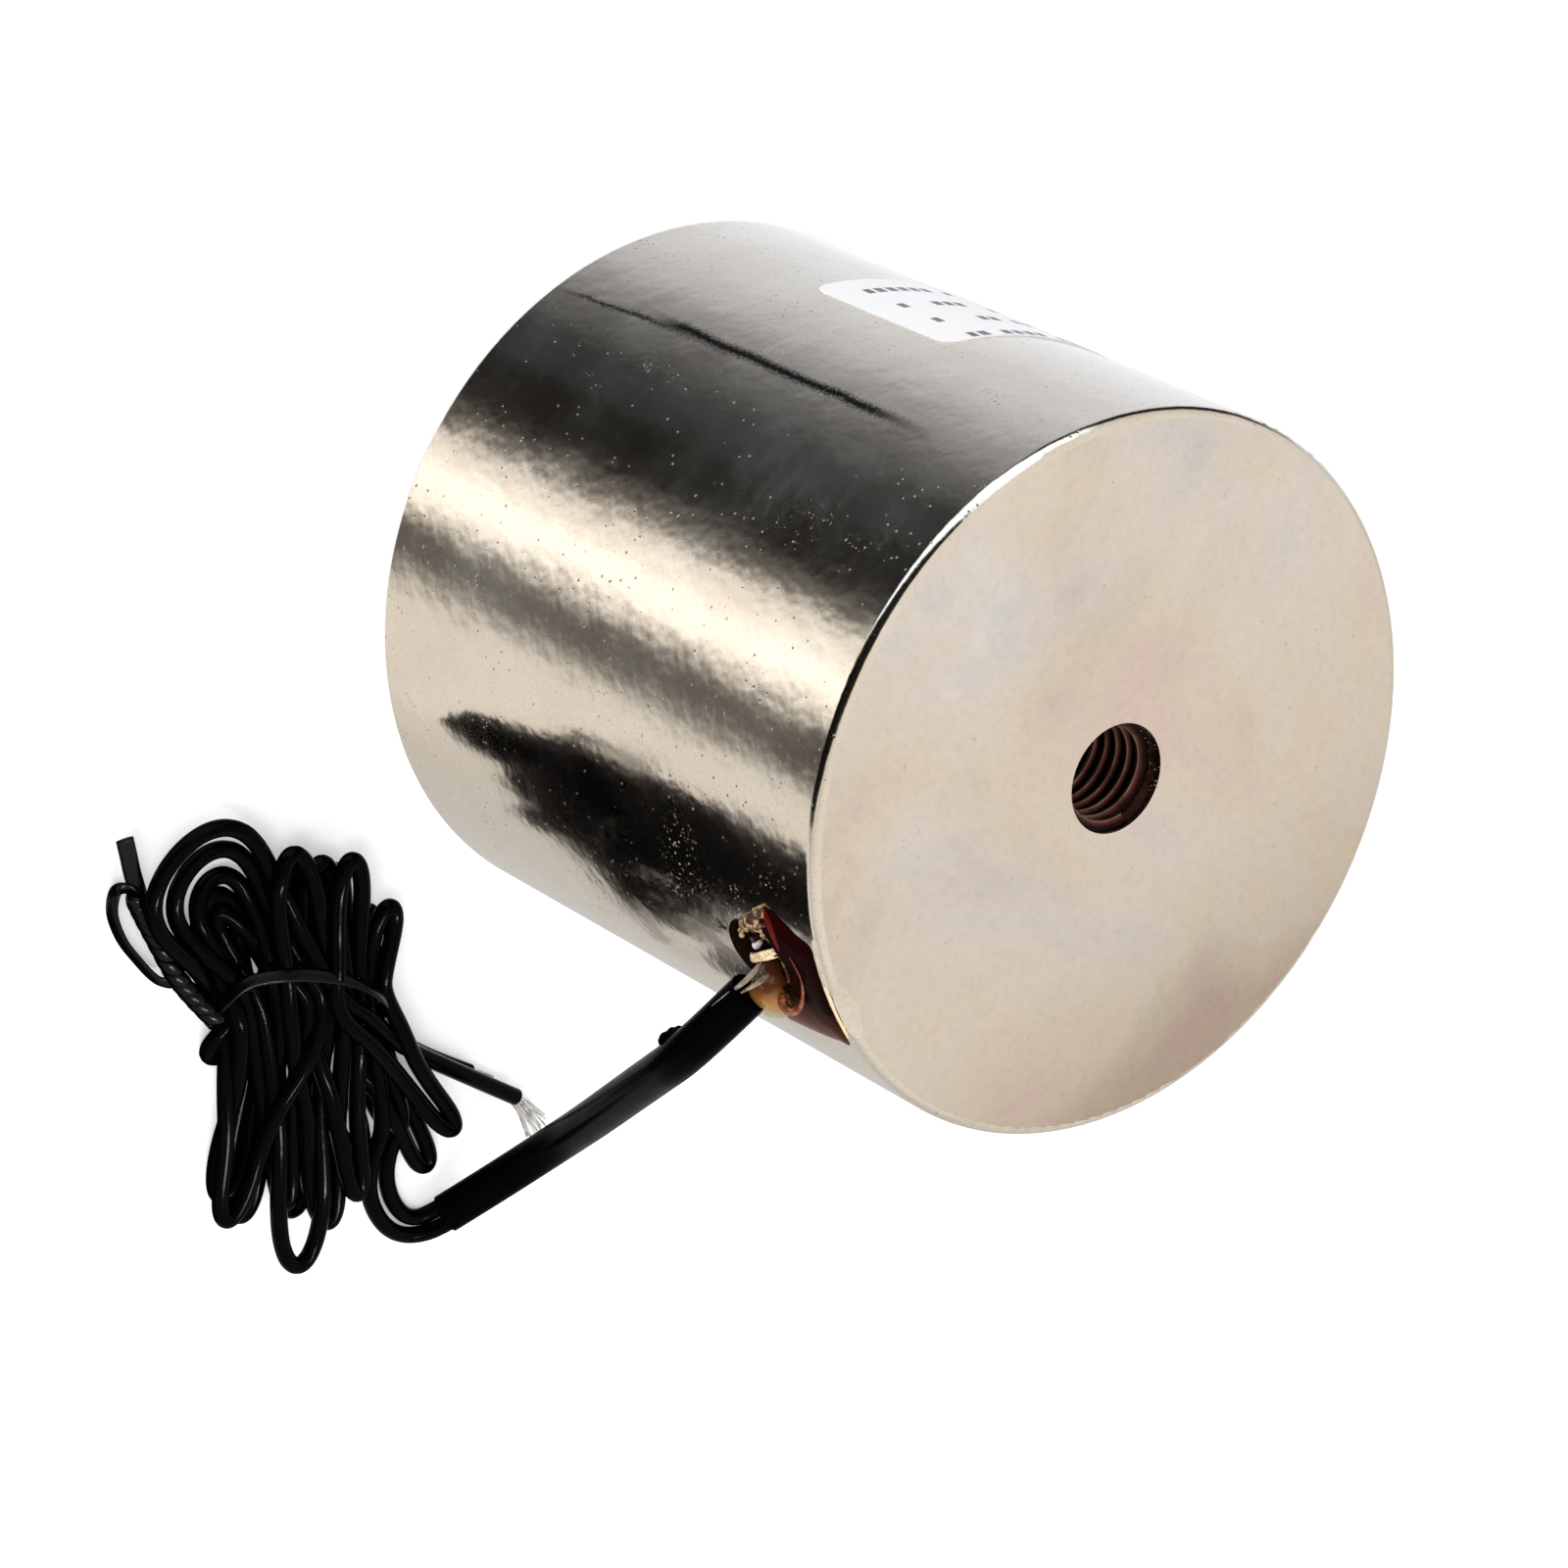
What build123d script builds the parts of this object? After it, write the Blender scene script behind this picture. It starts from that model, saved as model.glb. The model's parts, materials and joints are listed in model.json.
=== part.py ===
from build123d import *
from math import cos, degrees, pi, radians, sin, tan
import os

# Holding electromagnet: a one-piece nickel-plated steel pot with a centre pole, a potted coil inside it,
# and a two-wire lead that leaves the wall, drops to the floor and ends in a tied hank.
# Origin at the centre of the holding face, +Z along the axis, lead exit on the -Y side.

# Steel pot
body_diameter = 80.0
body_height = 77.0
wall_thickness = 6.0
back_thickness = 8.0
core_diameter = body_diameter / 2
mounting_edge_radius = 1.2
holding_edge_chamfer = 0.5
nick_angle = 275.5
nick_reach = 1.0
nick_half_length = 3.75
nick_ball_radius = 20.0

# Mounting thread M12, at its tapping drill's size
thread_drill_diameter = 10.2
thread_depth = 20.0
thread_runout = 2.5
thread_mouth_diameter = 11.7
drill_point_angle = 118.0

# Coil
fit_gap = 0.3
bobbin_wall = 1.5
flange_thickness = 1.5
flange_notch_width = 7.0
winding_below_flange = 2.7
tape_thickness = 0.4
potting_depth = 5.0
potting_recess = 0.3
copper_diameter = 0.8
copper_spacing = 2.4

# Lead exit
exit_below_back = 12.6
exit_diameter = 9.0
resin_film = 0.35
resin_corner_radius = 1.2
bead_offset = (4.4, -0.2, 0.2)
bead_radius = 3.6

# Lead, sleeve and hank
sleeve_diameter = 4.7
wire_diameter = 2.0
strand_diameter = 0.3
strand_pitch = 0.27
strand_count = 7
strand_length = 6.5
strand_splay = 4.0
hank_height = 7.2
hank_edge_radius = 2.2
waist_x, waist_y, waist_angle = 17.3, -23.8, -23.0
waist_half_width = 10.6
tie_width = 1.8
tie_thickness = 0.8
tie_height = 7.6
tie_corner_radius = 3.0
tie_tail_diameter = 2.0

# Blank label
label_angle = 161.3
label_length = 40.0
label_width = 23.0
label_below_back = 28.0
label_thickness = 0.15
label_corner_radius = 2.2

body_radius = body_diameter / 2
core_radius = core_diameter / 2
chamber_radius = body_radius - wall_thickness
chamber_top = body_height - back_thickness
potting_top = potting_recess + potting_depth
bobbin_top = chamber_top - fit_gap
bobbin_bore = core_radius + fit_gap
winding_bore = bobbin_bore + bobbin_wall
winding_top = bobbin_top - flange_thickness
winding_bottom = potting_top + flange_thickness
flange_radius = chamber_radius - fit_gap
winding_radius = flange_radius - winding_below_flange
taped_radius = winding_radius + tape_thickness
exit_height = body_height - exit_below_back
exit_plane = Plane(origin=(0, -body_radius, exit_height), x_dir=(1, 0, 0), z_dir=(0, -1, 0))
foot_plane = Plane(origin=(0, -body_radius, 0))


def from_exit(points):
    """Points given from the exit's centre on the wall, moved to the row's frame."""
    return [(x, y - body_radius, z + exit_height) for x, y, z in points]


def from_foot(points):
    """Points given from the wall's foot straight below the exit, moved to the row's frame."""
    return [(x, y - body_radius, z) for x, y, z in points]


# Routes of the free lead, millimetres, each point chosen by hand
sleeve_route = from_exit([(4.0, -2.2, -1.6), (9.8, -7.0, -7.0), (21.5, -9.4, -19.9)])
sleeve_route += from_foot([(38.3, -4.0, 25.3), (47.3, -5.5, 15.0), (52.1, -11.6, 6.7), (54.5, -17.2, 2.9)])
wire_a_route = from_foot(
    [
        (55.3, -17.27, 3.5),
        (56.0, -18.91, 2.38),
        (55.8, -21.2, 1.1),
        (53.9, -23.3, 1.0),
        (50.7, -24.5, 1.0),
        (46.7, -24.4, 1.0),
        (42.6, -22.4, 1.3),
        (39.6, -20.0, 2.4),
    ]
)
wire_b_route = from_foot(
    [
        (53.7, -17.13, 2.3),
        (54.34, -18.61, 1.29),
        (53.8, -20.4, 1.0),
        (51.9, -21.7, 1.0),
        (48.9, -22.1, 1.0),
        (45.7, -21.4, 1.0),
        (42.8, -19.6, 1.3),
        (40.4, -17.2, 2.2),
    ]
)
tail_a_route = from_foot([(23.6, -16.0, 5.0), (31.4, -11.5, 3.6), (38.9, -7.2, 2.7), (45.9, -3.2, 2.6)])
tail_b_route = from_foot([(27.5, -13.6, 1.0), (31.6, -11.2, 1.0), (35.7, -8.5, 1.0), (39.4, -5.2, 1.0)])
tie_tail_route = from_foot(
    [
        (13.3, -33.4, 3.2),
        (10.6, -35.6, 2.4),
        (5.6, -36.4, 1.3),
        (-0.6, -36.2, 1.2),
        (-6.6, -35.7, 1.6),
        (-12.0, -35.4, 2.8),
    ]
)
copper_loop_route = from_exit(
    [
        (1.2, 8.6, 1.8),
        (1.2, 3.0, 2.0),
        (0.6, -1.0, 4.4),
        (2.0, -1.6, 7.4),
        (5.4, -1.4, 6.6),
        (7.6, -1.0, 3.4),
        (6.8, -1.2, 0.2),
    ]
)

# Outlines: the resin on the wall, from the exit's centre, and the hank on the floor, from the wall's foot
resin_outline = [
    (-6.6, 1.0),
    (-7.3, 7.2),
    (-5.6, 20.0),
    (8.6, 20.0),
    (10.2, 2.0),
    (9.6, -2.6),
    (4.0, -6.0),
    (-4.6, -5.0),
]
hank_outline = [
    (-11.5, -27.5),
    (-7.5, -19.5),
    (2.0, -13.0),
    (12.0, -8.8),
    (19.0, -10.4),
    (22.0, -14.6),
    (33.0, -12.0),
    (44.5, -9.8),
    (49.6, -14.0),
    (45.0, -20.0),
    (41.0, -22.8),
    (46.6, -27.4),
    (49.2, -34.0),
    (43.0, -39.8),
    (31.0, -41.4),
    (20.0, -37.4),
    (12.8, -33.0),
    (4.0, -34.0),
    (-7.0, -33.4),
]


def arc_radii(route):
    """The largest fillet radius that each corner's two runs allow."""
    points = [Vector(*p) for p in route]
    radii = []
    for before, here, after in zip(points, points[1:], points[2:]):
        turn = (here - before).get_angle(after - here)
        shorter = min((here - before).length, (after - here).length)
        radii.append(0.45 * shorter / tan(radians(turn / 2)))
    return radii


def round_path(route):
    """The route's straight runs joined by arcs that touch both."""
    return FilletPolyline(*route, radius=arc_radii(route))


def report_tube(name, part, path, diameter, route):
    expected = path.length * pi * diameter**2 / 4
    radii = ", ".join(f"{r:.1f}" for r in arc_radii(route))
    print(f"{name}: length {path.length:.1f}, volume over section times length {part.volume / expected:.4f}, radii {radii}")


def write(piece, name):
    piece.part.label = name
    export_step(piece.part, f"parts/{name}.step")


os.makedirs("parts", exist_ok=True)

# Pot: shell, back and centre pole turned from one bar
with BuildPart() as pot_body:
    Cylinder(body_radius, body_height, align=(Align.CENTER, Align.CENTER, Align.MIN))
    with BuildSketch():
        Circle(chamber_radius)
        Circle(core_radius, mode=Mode.SUBTRACT)
    extrude(amount=chamber_top, mode=Mode.SUBTRACT)
    outer_edges = pot_body.edges().filter_by(GeomType.CIRCLE).filter_by(lambda e: abs(e.radius - body_radius) < 0.01)
    fillet(outer_edges.sort_by(Axis.Z)[-1], mounting_edge_radius)
    rim = pot_body.edges().filter_by(GeomType.CIRCLE).filter_by(lambda e: abs(e.radius - body_radius) < 0.01)
    chamfer(rim.sort_by(Axis.Z)[0], holding_edge_chamfer)
    with BuildSketch(Plane.XZ) as bore_profile:
        with BuildLine():
            drill = thread_drill_diameter / 2
            mouth = thread_mouth_diameter / 2
            floor = body_height - thread_depth - thread_runout
            Polyline(
                (0, body_height),
                (mouth, body_height),
                (drill, body_height - (mouth - drill)),
                (drill, floor),
                (0, floor - drill / tan(radians(drill_point_angle / 2))),
                close=True,
            )
        make_face()
    revolve(axis=Axis.Z, mode=Mode.SUBTRACT)
    with BuildSketch(exit_plane):
        Circle(exit_diameter / 2)
    extrude(amount=-(body_radius - winding_radius), mode=Mode.SUBTRACT)
    lens_radius = (nick_half_length**2 + nick_reach**2) / (2 * nick_reach)
    nick_centre = body_radius - mounting_edge_radius - nick_reach + lens_radius
    nick_rise = (nick_ball_radius**2 - lens_radius**2) ** 0.5
    nick_direction = (cos(radians(nick_angle)), sin(radians(nick_angle)))
    with Locations((nick_centre * nick_direction[0], nick_centre * nick_direction[1], body_height + nick_rise)):
        Sphere(nick_ball_radius, mode=Mode.SUBTRACT)
write(pot_body, "pot_body")

# Bobbin: a moulded tube with two flanges, notched where the coil's ends leave
with BuildPart() as coil_bobbin:
    with BuildSketch(Plane.XZ):
        with BuildLine():
            Polyline(
                (bobbin_bore, potting_top),
                (flange_radius, potting_top),
                (flange_radius, winding_bottom),
                (winding_bore, winding_bottom),
                (winding_bore, winding_top),
                (flange_radius, winding_top),
                (flange_radius, bobbin_top),
                (bobbin_bore, bobbin_top),
                close=True,
            )
        make_face()
    revolve(axis=Axis.Z)
    with Locations((0, -flange_radius, (winding_top + bobbin_top) / 2)):
        Box(flange_notch_width, 2 * (flange_radius - winding_radius), flange_thickness, mode=Mode.SUBTRACT)
write(coil_bobbin, "coil_bobbin")

# Enamelled copper winding, and the tape round it
with BuildPart() as coil_winding:
    with BuildSketch(Plane.XY.offset(winding_bottom)):
        Circle(winding_radius)
        Circle(winding_bore, mode=Mode.SUBTRACT)
    extrude(amount=winding_top - winding_bottom)
write(coil_winding, "coil_winding")

with BuildPart() as winding_tape:
    with BuildSketch(Plane.XY.offset(winding_bottom)):
        Circle(taped_radius)
        Circle(winding_radius, mode=Mode.SUBTRACT)
    extrude(amount=winding_top - winding_bottom)
write(winding_tape, "winding_tape")

# Potting that closes the holding face between the pole and the rim
with BuildPart() as potting_ring:
    with BuildSketch(Plane.XY.offset(potting_recess)):
        Circle(chamber_radius)
        Circle(core_radius, mode=Mode.SUBTRACT)
    extrude(amount=potting_depth)
write(potting_ring, "potting_ring")

# Copper ends of the coil: one runs straight out, the other bows out of the resin before it turns back
with BuildPart() as copper_tail_a:
    with BuildSketch(Plane(origin=(-copper_spacing / 2, -taped_radius, exit_height), z_dir=(0, -1, 0))):
        Circle(copper_diameter / 2)
    extrude(amount=body_radius - taped_radius)
write(copper_tail_a, "copper_tail_a")

with BuildPart() as copper_tail_b:
    with BuildLine() as loop_path:
        round_path(copper_loop_route)
    loop_line = loop_path.wires()[0]
    with BuildSketch(Plane(loop_line @ 0, z_dir=loop_line % 0)):
        Circle(copper_diameter / 2)
    sweep(path=loop_line)
write(copper_tail_b, "copper_tail_b")

# Heat-shrink sleeve over the two wires
with BuildPart() as lead_sleeve:
    with BuildLine() as sleeve_path:
        round_path(sleeve_route)
    sleeve_line = sleeve_path.wires()[0]
    with BuildSketch(Plane(sleeve_line @ 0, z_dir=sleeve_line % 0)):
        Circle(sleeve_diameter / 2)
    sweep(path=sleeve_line)
report_tube("lead_sleeve", lead_sleeve.part, sleeve_line, sleeve_diameter, sleeve_route)
write(lead_sleeve, "lead_sleeve")

# Resin that fills the exit hole, has run across the wall to the mounting edge and beads round the sleeve's root
with BuildPart() as exit_resin:
    with BuildSketch(exit_plane.offset(-wall_thickness)) as resin_sketch:
        with BuildLine():
            rim_gap = body_height - mounting_edge_radius - exit_height
            Polyline(
                *((x, min(y, rim_gap)) for x, y in resin_outline),
                close=True,
            )
        make_face()
        fillet(resin_sketch.vertices(), resin_corner_radius)
    extrude(amount=2 * wall_thickness)
    Cylinder(
        body_radius + resin_film, body_height, align=(Align.CENTER, Align.CENTER, Align.MIN), mode=Mode.INTERSECT
    )
    with Locations(*from_exit([bead_offset])):
        Sphere(bead_radius)
    Cylinder(body_radius, body_height, align=(Align.CENTER, Align.CENTER, Align.MIN), mode=Mode.SUBTRACT)
    with BuildSketch(exit_plane.offset(resin_film)):
        Circle(exit_diameter / 2)
    extrude(amount=-(wall_thickness + resin_film))
    for buried in (copper_tail_a, copper_tail_b, lead_sleeve):
        add(buried.part, mode=Mode.SUBTRACT)
write(exit_resin, "exit_resin")

# Twist tie: a band round the hank's waist, and its twisted end
waist_along = (cos(radians(waist_angle)), sin(radians(waist_angle)), 0)
waist_across = (-sin(radians(waist_angle)), cos(radians(waist_angle)), 0)
waist_point = (waist_x, waist_y - body_radius, tie_height / 2)
waist_plane = Plane(origin=waist_point, x_dir=waist_across, z_dir=waist_along)
with BuildPart() as twist_tie:
    with BuildSketch(waist_plane):
        RectangleRounded(2 * waist_half_width, tie_height, tie_corner_radius)
        RectangleRounded(
            2 * (waist_half_width - tie_thickness),
            tie_height - 2 * tie_thickness,
            tie_corner_radius - tie_thickness,
            mode=Mode.SUBTRACT,
        )
    extrude(amount=tie_width / 2, both=True)
    tie_band = twist_tie.part
    with BuildLine() as tie_path:
        round_path(tie_tail_route)
    tie_line = tie_path.wires()[0]
    with BuildSketch(Plane(tie_line @ 0, z_dir=tie_line % 0)):
        Circle(tie_tail_diameter / 2)
    sweep(path=tie_line)
write(twist_tie, "twist_tie")

# Hank: the outer shape of the tied bundle of turns, drawn in at the tie
with BuildPart() as lead_hank:
    with BuildSketch(foot_plane):
        with BuildLine():
            Spline(*hank_outline, periodic=True)
        make_face()
    extrude(amount=hank_height)
    fillet(lead_hank.faces().sort_by(Axis.Z)[-1].edges(), hank_edge_radius)
    fillet(lead_hank.faces().sort_by(Axis.Z)[0].edges(), hank_edge_radius)
    add(tie_band, mode=Mode.SUBTRACT)
write(lead_hank, "lead_hank")

# The two wires, from the sleeve into the hank and from the hank to their cut ends
wire_ends = {}
wire_routes = {
    "lead_a_run": wire_a_route,
    "lead_b_run": wire_b_route,
    "lead_a_tail": tail_a_route,
    "lead_b_tail": tail_b_route,
}
for name, route in wire_routes.items():
    with BuildPart() as wire_tube:
        with BuildLine() as wire_path:
            round_path(route)
        centreline = wire_path.wires()[0]
        with BuildSketch(Plane(centreline @ 0, z_dir=centreline % 0)):
            Circle(wire_diameter / 2)
        sweep(path=centreline)
        report_tube(name, wire_tube.part, centreline, wire_diameter, route)
        add(lead_hank.part, mode=Mode.SUBTRACT)
    write(wire_tube, name)
    wire_ends[name] = Plane(centreline @ 1, z_dir=centreline % 1)

# Bared strands at the cut ends, splayed a little
for name, tail in (("strands_a", "lead_a_tail"), ("strands_b", "lead_b_tail")):
    with BuildPart() as strands:
        with Locations(wire_ends[tail]):
            Cylinder(strand_diameter / 2, strand_length, align=(Align.CENTER, Align.CENTER, Align.MIN))
        for index in range(strand_count - 1):
            turn = radians(360 * index / (strand_count - 1))
            root = (strand_pitch * cos(turn), strand_pitch * sin(turn), 0)
            lean = (-strand_splay * sin(turn), strand_splay * cos(turn), 0)
            with Locations(wire_ends[tail] * Location(root, lean)):
                Cylinder(strand_diameter / 2, strand_length, align=(Align.CENTER, Align.CENTER, Align.MIN))
    write(strands, name)

# Blank label wrapped on the wall
with BuildPart() as rating_label:
    sweep_angle = degrees(label_length / body_radius)
    label_plane = Plane.XZ.rotated((0, 0, label_angle - sweep_angle))
    with BuildSketch(label_plane):
        with Locations((body_radius + label_thickness / 2, body_height - label_below_back - label_width / 2)):
            Rectangle(label_thickness, label_width)
    revolve(axis=Axis.Z, revolution_arc=sweep_angle)
    corners = rating_label.edges().filter_by(lambda e: e.length < 2 * label_thickness)
    fillet(corners, label_corner_radius)
write(rating_label, "rating_label")
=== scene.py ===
import json
import random
from math import cos, hypot, pi, radians, sin

import bmesh
import bpy
import numpy as np
from mathutils import Matrix, Vector

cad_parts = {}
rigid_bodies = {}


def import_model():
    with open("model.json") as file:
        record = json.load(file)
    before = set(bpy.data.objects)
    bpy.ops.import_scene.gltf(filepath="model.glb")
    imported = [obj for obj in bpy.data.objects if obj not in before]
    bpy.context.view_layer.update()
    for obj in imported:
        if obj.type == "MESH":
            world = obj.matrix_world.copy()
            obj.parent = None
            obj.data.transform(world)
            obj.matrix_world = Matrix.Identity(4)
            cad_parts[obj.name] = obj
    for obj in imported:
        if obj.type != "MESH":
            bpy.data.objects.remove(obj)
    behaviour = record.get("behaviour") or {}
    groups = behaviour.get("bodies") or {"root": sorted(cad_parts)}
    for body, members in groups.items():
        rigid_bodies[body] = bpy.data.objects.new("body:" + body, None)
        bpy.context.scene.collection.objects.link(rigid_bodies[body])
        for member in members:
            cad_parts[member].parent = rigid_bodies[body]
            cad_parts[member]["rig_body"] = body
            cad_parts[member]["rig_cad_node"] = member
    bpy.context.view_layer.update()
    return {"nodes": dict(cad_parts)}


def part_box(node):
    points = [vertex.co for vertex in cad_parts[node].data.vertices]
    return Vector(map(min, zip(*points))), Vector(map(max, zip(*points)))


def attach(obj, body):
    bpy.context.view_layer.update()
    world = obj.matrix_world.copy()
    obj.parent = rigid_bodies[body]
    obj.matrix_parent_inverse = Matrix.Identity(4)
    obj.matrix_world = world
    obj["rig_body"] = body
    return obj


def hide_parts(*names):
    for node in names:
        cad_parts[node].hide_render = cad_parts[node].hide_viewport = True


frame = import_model()
nodes = frame["nodes"]
mm = 0.001


# Steel pot: shell, back and centre pole turned from one bar of soft steel and nickel plated. The mounting
# face is turned flat and has gone cloudy; the wall is bright, with pits, chalky flecks and three scratches.
pot_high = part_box("pot_body")[1]
body_radius = pot_high.x
body_height = pot_high.z
thread_minor_radius = 5.1 * mm
thread_major_radius = 6.0 * mm
thread_end_height = body_height - 22.5 * mm
thread_lead_in = 0.1 * mm
exit_height = body_height - 12.6 * mm
exit_radius = 4.5 * mm
exit_shift = 0.8 * mm
exit_narrowing = 0.97
tolerance = 0.1 * mm
nickel_colour = (0.86, 0.74, 0.595)
wall_roughness = 0.13
face_roughness = 0.3
white = (1.0, 1.0, 1.0)
# each scratch: its Y at the foot, how Y leans with height, its two ends in height, its width and its darkness
scratches = [
    (-2.9 * mm, 0.060, 1.0 * mm, 26 * mm, 0.45 * mm, 0.85),
    (-1.2 * mm, 0.004, 15 * mm, 64 * mm, 0.95 * mm, 1.0),
    (-2.3 * mm, 0.012, 12 * mm, 34 * mm, 0.45 * mm, 0.4),
]


def placed(name, data):
    """A new object in the scene."""
    piece = bpy.data.objects.new(name, data)
    bpy.context.scene.collection.objects.link(piece)
    return piece


def make_active(piece):
    bpy.ops.object.select_all(action="DESELECT")
    piece.select_set(True)
    bpy.context.view_layer.objects.active = piece


def modified(piece, kind, name, **settings):
    """A modifier, set and applied to the piece's mesh."""
    modifier = piece.modifiers.new(name, kind)
    for key, value in settings.items():
        setattr(modifier, key, value)
    make_active(piece)
    bpy.ops.object.modifier_apply(modifier=modifier.name)


def piece_from(name, mesh, smooth=True):
    """A new object from a bmesh with its normals made to agree."""
    bmesh.ops.recalc_face_normals(mesh, faces=mesh.faces)
    data = bpy.data.meshes.new(name)
    mesh.to_mesh(data)
    mesh.free()
    if smooth:
        data.shade_smooth()
    return placed(name, data)


def finished(piece, finish):
    """The piece with its material, riding on the part's one body."""
    piece.data.materials.clear()
    piece.data.materials.append(finish)
    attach(piece, "root")
    return piece


def feed(node, inputs):
    """A node's inputs, each given as a number, a colour or the socket that feeds it."""
    for key, value in inputs.items():
        if isinstance(value, bpy.types.NodeSocket):
            node.id_data.links.new(value, node.inputs[key])
        else:
            node.inputs[key].default_value = (*value, 1) if isinstance(value, tuple) else value
    return node


def add(tree, kind, inputs=None, **settings):
    """A node with its settings and its inputs."""
    node = tree.nodes.new(kind)
    for key, value in settings.items():
        setattr(node, key, value)
    return feed(node, inputs or {})


def tree_of(*values):
    """The tree of the first socket among some values."""
    return next(value for value in values if isinstance(value, bpy.types.NodeSocket)).id_data


def new_finish(name, colour, metallic, roughness, specular=0.5):
    """A material and its principled shader with the constants that it starts from."""
    finish = bpy.data.materials.new(name)
    finish.use_nodes = True
    shader = finish.node_tree.nodes["Principled BSDF"]
    inputs = {"Base Color": colour, "Metallic": metallic, "Roughness": roughness}
    feed(shader, {**inputs, "Specular IOR Level": specular})
    return finish, shader


def on_object(finish):
    """The place on the object, where all of a material's patterns are read."""
    return add(finish.node_tree, "ShaderNodeTexCoord").outputs["Object"]


def split(place):
    return add(place.id_data, "ShaderNodeSeparateXYZ", {"Vector": place}).outputs


def noise(place, scale, detail, roughness=0.5, distortion=0.0):
    inputs = {"Vector": place, "Scale": scale, "Detail": detail}
    inputs.update({"Roughness": roughness, "Distortion": distortion})
    return add(place.id_data, "ShaderNodeTexNoise", inputs).outputs["Fac"]


def mapped(value, low, high, start=0.0, end=1.0):
    """A value moved from one range to another, and held at its ends."""
    inputs = {"Value": value, "From Min": low, "From Max": high, "To Min": start, "To Max": end}
    return add(value.id_data, "ShaderNodeMapRange", inputs).outputs[0]


def maths(operation, first, second=0.0):
    tree = tree_of(first, second)
    return add(tree, "ShaderNodeMath", {0: first, 1: second}, operation=operation).outputs[0]


def plus(first, second):
    return maths("ADD", first, second)


def minus(first, second):
    return maths("SUBTRACT", first, second)


def times(first, *others):
    """Values or masks multiplied together."""
    for other in others:
        first = maths("MULTIPLY", first, other)
    return first


def wobble(value, width):
    """A noise's value turned into a shift to either side."""
    return times(minus(value, 0.5), width)


def blend(factor, first, second, mode="MIX"):
    inputs = {0: factor, 6: first, 7: second}
    tree = tree_of(factor, first, second)
    return add(tree, "ShaderNodeMix", inputs, data_type="RGBA", blend_type=mode).outputs[2]


def ramp(factor, stops, interpolation="LINEAR"):
    """A colour ramp from a list of (place, colour)."""
    node = add(factor.id_data, "ShaderNodeValToRGB", {"Fac": factor})
    node.color_ramp.interpolation = interpolation
    while len(node.color_ramp.elements) < len(stops):
        node.color_ramp.elements.new(1.0)
    for element, (place, colour) in zip(node.color_ramp.elements, stops):
        element.position = place
        element.color = (*colour, 1)
    return node.outputs["Color"]


def grey(value):
    return (value, value, value)


def bump(height, strength, distance, under=None, invert=False):
    """A relief that only shows in the shading, laid over another one where that is given."""
    inputs = {"Height": height, "Strength": strength, "Distance": distance}
    if under is not None:
        inputs["Normal"] = under
    return add(height.id_data, "ShaderNodeBump", inputs, invert=invert).outputs[0]


def group_sockets(name, inputs, outputs):
    """A shader node group, the outputs of its input node, and its output node."""
    group = bpy.data.node_groups.new(name, "ShaderNodeTree")
    for socket, kind, value in inputs:
        made = group.interface.new_socket(name=socket, in_out="INPUT", socket_type=kind)
        if value is not None:
            made.default_value = value
    for socket in outputs:
        group.interface.new_socket(name=socket, in_out="OUTPUT", socket_type="NodeSocketFloat")
    return group, group.nodes.new("NodeGroupInput").outputs, group.nodes.new("NodeGroupOutput")


def speck_group():
    """Small scattered specks: a mask of uneven dots whose number and size are set per material."""
    inputs = [("Vector", "NodeSocketVector", None), ("Scale", "NodeSocketFloat", 500.0)]
    inputs += [("Size", "NodeSocketFloat", 0.2)]
    group, source, result = group_sockets("scattered specks", inputs, ["Mask"])
    cells = add(group, "ShaderNodeTexVoronoi", {"Vector": source["Vector"], "Scale": source["Scale"]}).outputs
    reach = times(source["Size"], times(noise(source["Vector"], 90.0, 3.0), 1.6))
    cell_value = add(group, "ShaderNodeSeparateColor", {"Color": cells["Color"]}).outputs[0]
    dots = mapped(cells["Distance"], 0.0, reach, 1.0, 0.0)
    feed(result, {"Mask": times(dots, maths("GREATER_THAN", cell_value, 0.5))})
    return group


def grain_group():
    """Fine moulded or drawn grain: a height for a bump, and a mask that breaks up the gloss."""
    inputs = [("Vector", "NodeSocketVector", None), ("Scale", "NodeSocketFloat", 800.0)]
    group, source, result = group_sockets("fine grain", inputs, ["Height", "Mask"])
    fine = noise(source["Vector"], source["Scale"], 4.0)
    feed(result, {"Height": fine, "Mask": noise(source["Vector"], 160.0, 2.0)})
    return group


specks = speck_group()
grain = grain_group()


def specks_at(place, scale, size):
    inputs = {"Vector": place, "Scale": scale, "Size": size}
    return add(place.id_data, "ShaderNodeGroup", inputs, node_tree=specks).outputs["Mask"]


def scratched(colour, place):
    """The wall's colour with its dark scratches, each a wandering, hatched line up the wall."""
    axes = split(place)
    wander = wobble(noise(place, 260.0, 3.0), 0.7 * mm)
    hatch = wobble(noise(place, 3000.0, 1.0), 1.1 * mm)
    on_this_side = maths("LESS_THAN", axes["X"], -30 * mm)
    for across, lean, low, high, width, depth in scratches:
        line = minus(axes["Y"], plus(times(axes["Z"], lean), across))
        line = maths("ABSOLUTE", plus(plus(line, wander), hatch))
        line = mapped(line, width * 0.25, width, 1.0, 0.0)
        rising = mapped(axes["Z"], low, low + 6 * mm)
        falling = mapped(axes["Z"], high - 10 * mm, high, 1.0, 0.0)
        mask = times(rising, falling, line, on_this_side, depth)
        colour = blend(mask, colour, (0.02, 0.015, 0.012))
    return colour


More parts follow.
